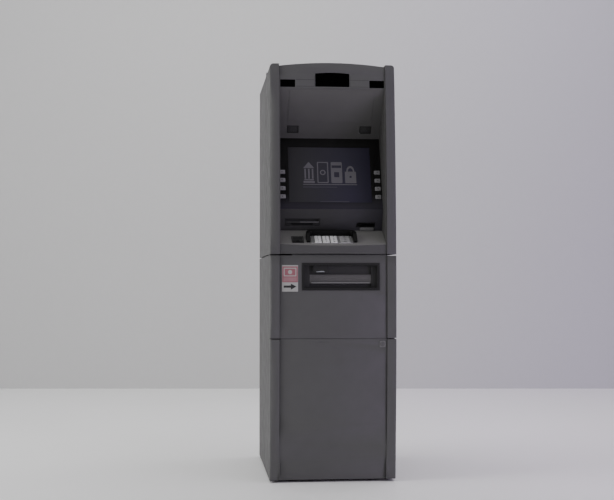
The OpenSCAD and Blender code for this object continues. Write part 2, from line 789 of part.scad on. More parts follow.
// Pivot brackets of the three front sections, with their pins.
module door_hinges() {
    w = half_w;
    low = [-w + 0.5, low_pin_y - 8];
    top = [-w + 1, top_pin_y - 8];
    plate = 24;
    color(steel) {
        // under the lower door, screwed below the pedestal floor
        block([low[0], low[1], 5.5], [low[0] + plate, low_split + 32, floor_z]);
        rod_z(pin_x, low_pin_y, 6, door_z + 12, pin_r);
        // between the lower door and the dispenser door
        block([low[0], low[1], door_top + 0.8], [low[0] + plate, low_split, door_top + mid_gap - 0.8]);
        rod_z(pin_x, low_pin_y, door_top - 12, door_top + mid_gap + 12, pin_r);
        // on the deck, over the dispenser door
        block([low[0], low[1], deck_z], [low[0] + plate, low_split + 40, deck_z + 3]);
        rod_z(pin_x, low_pin_y, disp_top - 12, deck_z + 2.8, pin_r);
        // on the deck, under the fascia
        block([top[0], top[1], deck_z], [top[0] + plate, top_split + 7, deck_z + 3]);
        rod_z(pin_x, top_pin_y, deck_z + 1, fascia_z + 12, pin_r);
        // on the top cover, over the fascia
        block([top[0], top[1], top_plate_z], [top[0] + plate, top_split + 4, top_plate_z + 3]);
        block([top[0], top_split + 1, top_z + sheet],
            [top[0] + plate, top_split + 4, top_plate_z + 1]);
        block([top[0], top_split + 1, top_z + sheet],
            [top[0] + plate, top_split + 40, top_z + sheet + 3]);
        rod_z(pin_x, top_pin_y, post_h - 13, top_plate_z + 2.8, pin_r);
    }
}

module safe_body() {
    w = safe_w / 2;
    z0 = floor_z + floor_t;
    color("#6f7176") {
        difference() {
            block([-w, safe_front, z0], [w, safe_back, safe_top]);
            block([-w + safe_t, safe_front + safe_t, z0 + safe_t],
                [w - safe_t, safe_back - safe_t, safe_top - safe_t]);
            block([-safe_open, safe_front - 1, safe_low],
                [safe_open, safe_front + safe_t + 1, safe_high]);
            block([disp_x - slot_w / 2 - 12, safe_front - 1, slot_z - 12],
                [disp_x + slot_w / 2 + 12, safe_front + safe_t + 1, slot_z + 12]);
            anchor_holes();
            rod_z(150, 240, safe_top - 30, safe_top + 1, 30);
        }
        // fixed halves of the door hinges
        for (z = [90, 400]) {
            rod_z(safe_hinge[0], safe_hinge[1], z + 30, z + 60, 8);
            rod_z(safe_hinge[0], safe_hinge[1], z + 3, z + 31, 4);
            block([-w + 2, safe_front - 4, z + 30], [safe_hinge[0], safe_front, z + 60]);
        }
    }
}

// Safe door plate, inset in its opening, with hinge knuckles and the guide of the bolts.
module safe_door() {
    x0 = -169;
    x1 = 169.5;
    color("#6f7176") difference() {
        union() {
            block([x0, safe_front, safe_low + 2.5], [x1, safe_front + safe_t, safe_high - 2.5]);
            for (z = [90, 400]) {
                rod_z(safe_hinge[0], safe_hinge[1], z, z + 29.5, 8);
                block([safe_hinge[0], safe_front - 4, z], [-115, safe_front, z + 29.5]);
            }
            // bolt guide
            for (z = bolt_rows)
                block([142, safe_front + safe_t, z - 16], [160, safe_front + safe_t + 30, z + 16]);
        }
        for (z = [90, 400]) rod_z(safe_hinge[0], safe_hinge[1], z - 1, z + 31, 4 + run_fit);
        for (z = bolt_rows) rod_x(safe_front + safe_t + 15, z, 130, 170, 9 + run_fit);
        rod_y(handle_c[0], handle_c[1], safe_front - 1, safe_front + safe_t + 1, 10 + run_fit);
        rod_y(dial_c[0], dial_c[1], safe_front - 1, safe_front + safe_t + 1, 6 + run_fit);
    }
}

module safe_handle() {
    x = handle_c[0];
    z = handle_c[1];
    color("#b0b2b6") {
        rod_y(x, z, safe_front - 30, safe_front + safe_t + 5, 10);
        rod_y(x, z, safe_front - 8, safe_front - 1, 22);
        block([x - 9, safe_front - 34, z - 110], [x + 9, safe_front - 22, z + 12]);
        rod_y(x, z - 104, safe_front - 36, safe_front - 20, 14);
        // cam behind the plate
        rod_y(x, z, safe_front + safe_t + 1, safe_front + safe_t + 5, 17);
    }
}

module safe_bolts() {
    y = safe_front + safe_t + 15;
    color("#b0b2b6") {
        for (z = bolt_rows) rod_x(y, z, 100, 161, 9);
        block([100, y - 6, bolt_rows[0] - 14], [112, y + 6, bolt_rows[2] + 14]);
    }
}

module combination_dial() {
    x = dial_c[0];
    z = dial_c[1];
    color("#1e1e22") difference() {
        union() {
            rod_y(x, z, safe_front - 5, safe_front - 0.8, 36);
            rod_y(x, z, safe_front - 12, safe_front - 4, 30);
            rod_y(x, z, safe_front - 28, safe_front - 11, 17);
            rod_y(x, z, safe_front - 2, safe_front + safe_t + 18, 6);
        }
        for (i = [0:23]) translate([x, 0, z]) rotate([0, i * 15, 0])
            rod_y(17.6, 0, safe_front - 30, safe_front - 12.5, 1.4);
    }
}

// Note cassette: a box open at the rear where the notes are picked, with a front handle.
module cassette(n) {
    z0 = 60 + (n - 1) * (cassette_h + 20);
    w = cassette_w / 2;
    y0 = -95;
    color("#3f5566") {
        difference() {
            block([-w, y0, z0], [w, y0 + cassette_d, z0 + cassette_h]);
            block([-w + 4, y0 + 6, z0 + 4], [w - 4, y0 + cassette_d + 1, z0 + cassette_h - 4]);
        }
        // stack of notes on its pusher
        block([-78, y0 + 110, z0 + 3], [78, y0 + cassette_d - 12, z0 + 72]);
        // handle
        for (x = [-52, 40]) block([x, y0 - 24, z0 + 90], [x + 12, y0 + 2, z0 + 106]);
        block([-52, y0 - 30, z0 + 90], [52, y0 - 22, z0 + 106]);
    }
}

// Pick and present mechanism: two side plates, cassette shelves, rollers and the throat.
module dispenser_mechanism() {
    w = 140;
    z0 = floor_z + floor_t + safe_t;
    rear = safe_back - safe_t;
    color("#9a9ca0") {
        both() across(w, w + 3) polygon([[-90, z0], [rear - 8, z0], [rear - 8, 780], [-200, 780],
            [-200, 690], [-90, 470]]);
        // runners of the two cassettes
        for (n = [0, 1]) both()
            block([w - 14, -80, 57 + n * 190], [w + 1, 268, 60 + n * 190]);
        for (z = [60 + 30, 250 + 30]) rod_x(292, z, -w - 1, w + 1, 8);
        for (z = [60 + 30, 250 + 30], x = [-60, 40]) rod_x(292, z, x, x + 20, 17);
        // transport rollers up the back and along the top
        for (z = [500, 600, 690]) {
            rod_x(296, z, -w - 1, w + 1, 5);
            for (x = [-70, 45]) rod_x(296, z, x, x + 25, 14);
        }
        for (y = [200, 100, 0, -100, -180]) {
            rod_x(y, 752, -w - 1, w + 1, 5);
            for (x = [-70, 45]) rod_x(y, 752, x, x + 25, 12);
        }
        block([-w, -195, slot_z - 8], [w + 1, 250, slot_z - 5]);
        // presenter throat through the safe front
        difference() {
            block([disp_x - slot_w / 2, -304, slot_z - 8], [disp_x + slot_w / 2, -194, slot_z + 8]);
            block([disp_x - slot_w / 2 + 3, -305, slot_z - slot_h / 2],
                [disp_x + slot_w / 2 - 3, -190, slot_z + slot_h / 2]);
        }
        // stepper motor on the left plate
        rod_x(150, 640, -w - 35, -w + 1, 26);
    }
}

// Computer case, open at the front where its boards are drawn out.
module pc_core() {
    z0 = fascia_z + 3;
    wall = 2;
    color("#a4a6aa") difference() {
        block([-60, -20, z0], [190, 300, z0 + 190]);
        block([-60 + wall, -21, z0 + wall], [190 - wall, 300 - wall, z0 + 190 - wall]);
    }
}

// Power supply box with its socket in the back of the top box.
module power_supply() {
    z0 = fascia_z + 3;
    x = -169;
    color("#8c8e92") difference() {
        union() {
            block([-215, 190, z0], [-95, 330, z0 + 84]);
            block([x - 16, 328, 837], [x + 16, top_back, 861]);
        }
        block([x - 12, top_back - 14, 841], [x + 12, top_back + 1, 857]);
        for (i = [0:5]) block([-210 + i * 18, 189, z0 + 20], [-202 + i * 18, 196, z0 + 64]);
    }
    // socket pins
    color(steel) for (p = [[-7, 0], [0, 3], [7, 0]])
        block([x + p[0] - 1, top_back - 15, 848 + p[1] - 2.5],
            [x + p[0] + 1, top_back - 8, 848 + p[1] + 2.5]);
}

leveling_feet();
pedestal_shell();
topbox_shell();
top_cover();
safe_body();
dispenser_mechanism();
pc_core();
power_supply();
door_hinges();
fascia_posts();
crown();
crown_windows();
recess_liner();
canopy_lamps();
screen_bezel();
display_panel();
mid_panel();
card_reader();
receipt_printer();
paper_roll();
keypad_shelf();
keypad_base();
keypad_shield();
audio_panel();
dispenser_door();
dispenser_bezel();
dispenser_shutter();
lower_door();
door_lock();
safe_door();
safe_handle();
combination_dial();
safe_bolts();
rear_door();
for (n = [1:2]) cassette(n);
for (n = [1:8]) fdk(n);
for (n = [1:16]) key(n);
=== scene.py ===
import json
import math

import bmesh
import bpy
from mathutils import Matrix, Vector
from mathutils.bvhtree import BVHTree


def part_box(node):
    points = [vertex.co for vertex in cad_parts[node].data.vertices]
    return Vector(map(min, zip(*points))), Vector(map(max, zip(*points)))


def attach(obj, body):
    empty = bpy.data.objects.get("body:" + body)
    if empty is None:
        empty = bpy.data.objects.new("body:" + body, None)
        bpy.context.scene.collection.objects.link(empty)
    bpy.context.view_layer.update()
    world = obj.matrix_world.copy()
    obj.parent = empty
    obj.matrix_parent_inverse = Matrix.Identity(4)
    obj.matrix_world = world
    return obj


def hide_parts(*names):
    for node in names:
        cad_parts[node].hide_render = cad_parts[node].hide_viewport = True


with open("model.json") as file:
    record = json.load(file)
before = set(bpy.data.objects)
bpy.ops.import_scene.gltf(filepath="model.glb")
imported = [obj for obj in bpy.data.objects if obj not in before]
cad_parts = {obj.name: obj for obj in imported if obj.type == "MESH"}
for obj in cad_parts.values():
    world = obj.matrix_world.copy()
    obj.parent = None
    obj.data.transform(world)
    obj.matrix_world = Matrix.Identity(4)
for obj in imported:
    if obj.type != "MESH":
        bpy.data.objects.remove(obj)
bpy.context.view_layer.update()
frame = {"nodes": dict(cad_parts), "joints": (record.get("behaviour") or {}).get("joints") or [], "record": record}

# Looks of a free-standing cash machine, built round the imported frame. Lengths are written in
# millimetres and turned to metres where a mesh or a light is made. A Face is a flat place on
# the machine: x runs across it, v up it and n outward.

MM = 0.001
FLAT_WITHIN = 0.05   # millimetres by which points of one flat may differ in depth
NODES = frame["nodes"]
JOINTS = {joint["name"]: joint for joint in frame["joints"]}
BODY_OF = {node: body for body, nodes in frame["record"]["behaviour"]["bodies"].items()
           for node in nodes}
FRONT, BACK, LEFT, RIGHT, UP = (0, -1, 0), (0, 1, 0), (-1, 0, 0), (1, 0, 0), (0, 0, 1)


# ---- materials ----

def tone(level, tint=(1.0, 1.0, 1.0)):
    """A linear colour from an even grey level and a tint."""
    return tuple(level * part for part in tint) + (1.0,)


def feed(tree, node, inputs):
    """Sets a node's inputs, each to a constant or from another node's output."""
    for name, value in inputs.items():
        if isinstance(value, bpy.types.NodeSocket):
            tree.links.new(value, node.inputs[name])
        else:
            node.inputs[name].default_value = value


def add_node(tree, kind, output, inputs, **settings):
    """Makes a shader node and gives back one of its outputs."""
    node = tree.nodes.new("ShaderNode" + kind)
    for name, value in settings.items():
        setattr(node, name, value)
    feed(tree, node, inputs)
    return node.outputs[output]


def noise(tree, where, scale, detail=2.0, stretch=None):
    """A noise texture's factor output, stretched along an axis for brushed metal."""
    if stretch:
        where = add_node(tree, "Mapping", "Vector", {"Scale": stretch, "Vector": where})
    return add_node(tree, "TexNoise", "Fac", {"Scale": scale, "Detail": detail, "Vector": where})


def remap(tree, value, low, high, out_low, out_high):
    return add_node(tree, "MapRange", "Result",
                    {"Value": value, "From Min": low, "From Max": high, "To Min": out_low,
                     "To Max": out_high})


def along(tree, vector, axis):
    return add_node(tree, "SeparateXYZ", axis, {"Vector": vector})


def blend_colour(tree, factor, first, second):
    """Mixes two colours, each a constant or a socket."""
    return add_node(tree, "Mix", 2, {"Factor": factor, 6: first, 7: second}, data_type="RGBA")


def edge_mask(tree, where, width):
    """Near 1 on edges, broken up by noise, from how far a rounded normal leans off the true one."""
    rounded = add_node(tree, "Bevel", "Normal", {"Radius": width * MM}, samples=4)
    true = add_node(tree, "NewGeometry", "Normal", {})
    lean = add_node(tree, "VectorMath", "Value", {0: rounded, 1: true}, operation="DOT_PRODUCT")
    edge = remap(tree, lean, 0.75, 0.995, 1.0, 0.0)
    patches = remap(tree, noise(tree, where, 55.0, 4.0), 0.4, 0.62, 0.0, 1.0)
    return add_node(tree, "Math", "Value", {0: edge, 1: patches}, operation="MULTIPLY")


def finish_of(name, colour, rough, metal=0.0, grain=900.0, bump=0.15, mottle=0.12, worn=None,
              coat=0.0, stretch=None, dust_and_highlight=0.0, glow=0.0, cloudy=5.0, shine=0.5, fade=None,
              side_shade=None):
    """A procedural material: mottled colour, uneven roughness, fine grain, worn edges, and lighter up-facing
    faces: a settled film, and a painted highlight on the shelf.

    worn is (width, colour): how wide the worn edges are, in millimetres, and their colour.
    fade is (axis, start, end, colour): the colour that takes over along an axis, in metres; it paints shade, a
    reflection and lavender light on the materials below.
    sideways is the colour of faces that look left or right, used as painted shade on side walls."""
    material = bpy.data.materials.new(name)
    material.use_nodes = True
    tree = material.node_tree
    shader = tree.nodes["Principled BSDF"]
    where = add_node(tree, "TexCoord", "Object", {})
    darker = tuple(part * (1 - mottle) for part in colour[:3]) + (1.0,)
    lighter = tuple(min(1.0, part * (1 + mottle)) for part in colour[:3]) + (1.0,)
    cloud = remap(tree, noise(tree, where, cloudy, 5.0), 0.3, 0.7, 0.0, 1.0)
    shade = blend_colour(tree, cloud, darker, lighter)
    fine = noise(tree, where, grain, 3.0, stretch)
    layered_colour = blend_colour(tree, remap(tree, fine, 0.35, 0.65, 0.0, 0.35), shade, darker)
    normal = add_node(tree, "NewGeometry", "Normal", {})
    # Up-facing faces lighten towards pale grey: a faint settled film on most materials, a painted highlight where
    # the amount is large, as on the shelf.
    if dust_and_highlight:
        film_and_highlight = remap(tree, along(tree, normal, "Z"), 0.35, 1.0, 0.0, dust_and_highlight)
        layered_colour = blend_colour(tree, film_and_highlight, layered_colour, tone(0.32, (1.0, 0.98, 0.95)))
    # Painted shade: faces that look left or right take a darker colour.
    if side_shade:
        for start, end in ((0.5, 0.9), (-0.5, -0.9)):
            facing = remap(tree, along(tree, normal, "X"), start, end, 0.0, 1.0)
            layered_colour = blend_colour(tree, facing, layered_colour, side_shade)
    # Painted light and shade: a colour that takes over along an axis.
    if fade:
        axis, start, end, far = fade
        reach = remap(tree, along(tree, where, axis), start, end, 0.0, 1.0)
        layered_colour = blend_colour(tree, reach, layered_colour, far)
    if worn:
        width, bare = worn
        layered_colour = blend_colour(tree, edge_mask(tree, where, width), layered_colour, bare)
    uneven = remap(tree, noise(tree, where, 24.0, 4.0, stretch), 0.3, 0.7, rough * 0.85,
                   min(1.0, rough * 1.18))
    relief = add_node(tree, "Bump", "Normal",
                      {"Strength": bump, "Distance": 0.3 * MM, "Height": fine})
    feed(tree, shader, {"Base Color": layered_colour, "Roughness": uneven, "Normal": relief,
                        "Metallic": metal, "IOR": 1.5, "Specular IOR Level": shine,
                        "Coat Weight": coat, "Coat Roughness": 0.08})
    if glow:
        feed(tree, shader, {"Emission Color": layered_colour, "Emission Strength": glow})
    return material


WARM, COOL, LAVENDER = (1.0, 0.985, 0.97), (1.0, 0.99, 1.01), (1.0, 0.93, 1.2)
PAINT = finish_of("cabinet_powder_coat", tone(0.101, COOL), 0.72, grain=1400.0, bump=0.12,
                  mottle=0.03, worn=(0.6, tone(0.14, COOL)), dust_and_highlight=0.04, shine=0.3)
FASCIA = dict(rough=0.55, grain=2200.0, bump=0.14, mottle=0.045, dust_and_highlight=0.03, shine=0.35)
MOULDED = finish_of("fascia_moulding", tone(0.077, COOL), worn=(0.9, tone(0.12, COOL)), **FASCIA)
# Painted light: the right post turns a little lighter and lavender.
POST = finish_of("post_moulding", tone(0.071, COOL), worn=(0.9, tone(0.11, COOL)),
                 fade=("X", 0.0, 0.2, tone(0.074, (1.0, 0.97, 1.05))), **FASCIA)
# Painted shadow: the top of the dispenser door darkens under the shelf's overhang.
DOOR = finish_of("door_moulding", tone(0.076, COOL), worn=(0.9, tone(0.12, COOL)),
                 fade=("Z", 0.785, 0.83, tone(0.052, COOL)), **FASCIA)
# Painted shade: the side walls of the recess are darker, and the canopy darkens from its front edge back towards
# the screen.
LINER = finish_of("liner_moulding", tone(0.091, WARM), 0.55, grain=2200.0, bump=0.14,
                  mottle=0.05, worn=(0.8, tone(0.14, WARM)), shine=0.3,
                  side_shade=tone(0.06, WARM), fade=("Z", 1.43, 1.28, tone(0.066, WARM)))
# Painted light: the middle panel turns lavender towards the right.
MID = finish_of("middle_panel", tone(0.041, COOL), 0.55, grain=2200.0, bump=0.12, mottle=0.06,
                worn=(0.8, tone(0.07, COOL)), shine=0.25,
                fade=("X", -0.02, 0.16, tone(0.043, LAVENDER)))
# The large up-facing amount paints a highlight on the shelf's top and its nose.
SHELF = finish_of("shelf_moulding", tone(0.058, COOL), 0.45, grain=2200.0, bump=0.12,
                  mottle=0.06, worn=(1.4, tone(0.15, COOL)), dust_and_highlight=0.49, shine=0.4)
RIM = finish_of("rim_moulding", tone(0.085, COOL), 0.45, grain=2200.0, bump=0.1, mottle=0.06,
                worn=(0.6, tone(0.12, COOL)), shine=0.3)
DARK = dict(grain=2600.0, bump=0.1)
BLACK = finish_of("black_moulding", tone(0.009), 0.42, mottle=0.15, worn=(0.8, tone(0.03)),
                  shine=0.25, **DARK)
HOOD = finish_of("hood_moulding", tone(0.006), 0.45, mottle=0.15, worn=(0.8, tone(0.014)),
                 shine=0.12, **DARK)
MOUTH = finish_of("slot_moulding", tone(0.03), 0.5, shine=0.15, **DARK)
# Painted reflection: the foot of the bezel frame turns lighter and lavender, standing for the shelf reflected in
# it.
SATIN = finish_of("satin_black_frame", tone(0.0085, WARM), 0.5, shine=0.08,
                  fade=("Z", 1.05, 1.005, tone(0.03, LAVENDER)), **DARK)
SURROUND = finish_of("outlet_surround", tone(0.02, COOL), 0.5, worn=(0.6, tone(0.024)), shine=0.15,
                     fade=("Y", -0.345, -0.322, tone(0.042, COOL)), **DARK)
ACRYLIC = finish_of("black_acrylic", tone(0.0012), 0.4, grain=500.0, bump=0.01, mottle=0.2,
                    shine=0.0)
LENS = finish_of("smoked_lens", tone(0.034, COOL), 0.3, grain=700.0, bump=0.05, shine=0.2)
# Painted light: the glass turns darker and lavender towards the right.
GLASS = finish_of("screen_glass", tone(0.038, (0.98, 0.95, 1.06)), 0.35, bump=0.02,
                  mottle=0.08, cloudy=3.0, shine=0.12,
                  fade=("X", -0.11, 0.08, tone(0.03, (0.98, 0.88, 1.5))))
GRAPHIC = finish_of("screen_graphic", tone(0.115, (1.0, 0.96, 1.06)), 0.5, grain=1200.0,
                    bump=0.02, mottle=0.05, shine=0.15)
FAINT = finish_of("screen_faint_line", tone(0.065, (0.97, 0.93, 1.15)), 0.5, grain=1200.0,
                  bump=0.02, shine=0.15)
GASKET = finish_of("door_gasket", tone(0.075, COOL), 0.75, grain=1200.0, bump=0.2, shine=0.1)
SEAM = finish_of("seam_shadow", tone(0.042, COOL), 0.7, grain=1500.0, bump=0.05, shine=0.1)
ESCUTCHEON = finish_of("lock_escutcheon", tone(0.16, COOL), 0.5, grain=1500.0, bump=0.08,
                       worn=(0.5, tone(0.24)), shine=0.3)
PLUG = finish_of("lock_plug", tone(0.12), 0.5, 0.5, bump=0.08, mottle=0.1)
PAD_STEEL = finish_of("brushed_plate", tone(0.42), 0.36, 0.7, grain=700.0, bump=0.08,
                      mottle=0.06, stretch=(0.04, 1.0, 1.0), worn=(0.6, tone(0.6)))
KEY_METAL = dict(rough=0.34, bump=0.08, mottle=0.06, stretch=(0.06, 1.0, 1.0))
PAD_KEY = finish_of("key_metal", tone(0.8), metal=0.25, worn=(0.5, tone(0.95)), **KEY_METAL)
PAD_SIDE = finish_of("function_key_metal", tone(0.4), metal=0.4, worn=(0.5, tone(0.55)),
                     **KEY_METAL)
SIDE_KEY = finish_of("side_key_plastic", tone(0.165, (1.0, 0.98, 1.04)), 0.42, grain=2000.0,
                     bump=0.1, mottle=0.05, worn=(0.6, tone(0.27)))
LIGHT = finish_of("light_moulding", tone(0.15, COOL), 0.42, grain=2000.0, bump=0.12,
                  mottle=0.05, worn=(0.7, tone(0.2)))
SHUTTER = finish_of("shutter_moulding", tone(0.085, (1.03, 0.99, 1.0)), 0.36, grain=1500.0,
                    bump=0.1, mottle=0.06, worn=(0.8, tone(0.17)))
ZINC = finish_of("zinc_plate", tone(0.45, (0.98, 0.99, 1.0)), 0.4, 0.85, grain=300.0,
                 bump=0.12, mottle=0.14, cloudy=30.0)
STEEL = finish_of("mechanism_steel", tone(0.5), 0.34, 0.9, grain=600.0, bump=0.08, mottle=0.1,
                  stretch=(1.0, 1.0, 0.08), cloudy=14.0)
SAFE = finish_of("safe_enamel", tone(0.16, (0.98, 1.0, 1.03)), 0.5, grain=700.0, bump=0.5,
                 mottle=0.08, worn=(1.6, tone(0.3)))
CHROME = finish_of("worn_chrome", tone(0.62), 0.16, 1.0, grain=300.0, bump=0.03, mottle=0.05,
                   cloudy=20.0)
CASSETTE = finish_of("cassette_plastic", (0.045, 0.075, 0.105, 1.0), 0.5, grain=1600.0,
                     bump=0.25, mottle=0.08, worn=(0.9, (0.1, 0.14, 0.18, 1.0)))
PAPER = finish_of("thermal_paper", tone(0.74, WARM), 0.75, bump=0.2, mottle=0.03)
RUBBER = finish_of("rubber", tone(0.018), 0.8, bump=0.3, mottle=0.2)
BOARD = finish_of("circuit_board", (0.012, 0.075, 0.035, 1.0), 0.4, grain=240.0, mottle=0.25,
                  cloudy=90.0, coat=0.3)
BRASS = finish_of("brass", (0.6, 0.42, 0.16, 1.0), 0.3, 1.0, grain=500.0, bump=0.05)
LABEL = dict(rough=0.42, grain=1800.0, bump=0.05, cloudy=60.0)
RED = finish_of("label_red", (0.27, 0.1, 0.118, 1.0), mottle=0.08, **LABEL)
PINK = finish_of("label_pink", (0.3, 0.16, 0.175, 1.0), mottle=0.08, **LABEL)
WHITE = finish_of("label_white", tone(0.34, (0.99, 1.0, 0.95)), mottle=0.05, **LABEL)
INK = finish_of("dark_ink", tone(0.012), 0.5, grain=1500.0, bump=0.03)
MARK = finish_of("grey_ink", tone(0.07), 0.5, grain=1500.0, bump=0.03)
LAMP = finish_of("status_lamp", (0.24, 0.25, 0.27, 1.0), 0.3, bump=0.05, glow=0.05, coat=0.2)
WIRE = {name: finish_of(f"{name}_wire", colour, 0.5, bump=0.1)
        for name, colour in (("grey", tone(0.3)), ("red", (0.4, 0.03, 0.03, 1.0)),
                             ("blue", (0.03, 0.08, 0.35, 1.0)), ("black", tone(0.02)))}


# ---- places on the machine ----

class Face:
    """A flat place: origin in millimetres, x across, v up, n outward."""

    def __init__(self, origin, normal, across=RIGHT):
        self.origin = Vector(origin)
        self.n = Vector(normal).normalized()
        self.x = Vector(across).normalized()
        self.v = self.n.cross(self.x)

    def matrix(self):
        """From this face's millimetres to the frame's metres."""
        columns = Matrix((self.x, self.v, self.n)).transposed().to_4x4()
        return Matrix.Scale(MM, 4) @ Matrix.Translation(self.origin) @ columns

    def extents(self, node):
        """Lowest and highest corner of a node in this face's axes."""
        points = [vertex.co / MM - self.origin for vertex in NODES[node].data.vertices]
        axes = (self.x, self.v, self.n)
        return (Vector([min(p.dot(a) for p in points) for a in axes]),
                Vector([max(p.dot(a) for p in points) for a in axes]))


def flat_of(points, normal):
    """The outermost flat of some points along a normal, with its origin at the flat's foot."""
    face = Face((0, 0, 0), normal)
    top = max(p.dot(face.n) for p in points)
    foot = min(p.dot(face.v) for p in points if p.dot(face.n) > top - FLAT_WITHIN)
    face.origin = face.n * top + face.v * foot
    return face


def face_on(node, normal):
    """The outermost flat of a node along a normal."""
    return flat_of([vertex.co / MM for vertex in NODES[node].data.vertices], normal)


def widest_face(node, toward):
    """The outermost flat of a node, along its largest normal near the given direction."""
    data = NODES[node].data
    groups = {}
    for polygon in data.polygons:
        if polygon.normal.dot(Vector(toward).normalized()) > 0.7:
            key = tuple(round(part, 2) for part in polygon.normal)
            groups.setdefault(key, []).append(polygon)
    group = max(groups.values(), key=lambda polygons: sum(p.area for p in polygons))
    return flat_of([data.vertices[i].co / MM for polygon in group for i in polygon.vertices],
                   group[0].normal)


def surface_face(node, x, z, normal=FRONT, across=RIGHT):
    """The place where a ray along -normal meets a node at x (or y, on a side) and z."""
    bvh = BVHTree.FromPolygons([v.co / MM for v in NODES[node].data.vertices],
                               [list(p.vertices) for p in NODES[node].data.polygons])
    n = Vector(normal)
    start = n * 2000 + Vector(across) * x + Vector((0, 0, z))
    spot, lean = bvh.ray_cast(start, -n)[:2]
    if lean.dot(n) < 0:
        lean = -lean
    return Face(spot, lean, across)


def middle_of(face, node):
    """A face in the middle of a node, with its half width, half height, and foot and head in n."""
    low, high = face.extents(node)
    origin = face.origin + face.x * (low.x + high.x) / 2 + face.v * (low.y + high.y) / 2
    return (Face(origin, face.n), (high.x - low.x) / 2, (high.y - low.y) / 2, low.z, high.z)


def corner(node, high=False):
    """A corner of a node's box, in millimetres."""
    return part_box(node)[1 if high else 0] / MM


# ---- outlines ----

def arc(x, y, r, start, end, steps):
    return [(x + r * math.cos(math.radians(start + (end - start) * i / steps)),
             y + r * math.sin(math.radians(start + (end - start) * i / steps)))
            for i in range(steps + 1)]


def disc(x, y, r, steps=32):
    return arc(x, y, r, 0, 360 - 360 / steps, steps - 1)


def box(x0, y0, x1, y1, r=0.0, steps=5):
    """A rectangle with round corners."""
    if r <= 0:
        return [(x0, y0), (x1, y0), (x1, y1), (x0, y1)]
    return (arc(x1 - r, y0 + r, r, -90, 0, steps) + arc(x1 - r, y1 - r, r, 0, 90, steps)
            + arc(x0 + r, y1 - r, r, 90, 180, steps) + arc(x0 + r, y0 + r, r, 180, 270, steps))


def turned(points, degrees, x=0.0, y=0.0):
    """Turns points anticlockwise about the origin, then moves the origin to (x, y)."""
    c, s = math.cos(math.radians(degrees)), math.sin(math.radians(degrees))
    return [(x + px * c - py * s, y + px * s + py * c) for px, py in points]


def inset(outline, by):
    """Moves a convex outline's points towards its middle by about the given length."""
    cx = (min(p[0] for p in outline) + max(p[0] for p in outline)) / 2
    cy = (min(p[1] for p in outline) + max(p[1] for p in outline)) / 2
    wide = max(p[0] for p in outline) - cx
    tall = max(p[1] for p in outline) - cy
    return [(cx + (x - cx) * (wide - by) / wide, cy + (y - cy) * (tall - by) / tall)
            for x, y in outline]


# ---- pieces ----

def add_object(name, data):
    """Makes an object and puts it in the scene."""
    thing = bpy.data.objects.new(name, data)
    bpy.context.scene.collection.objects.link(thing)
    return thing


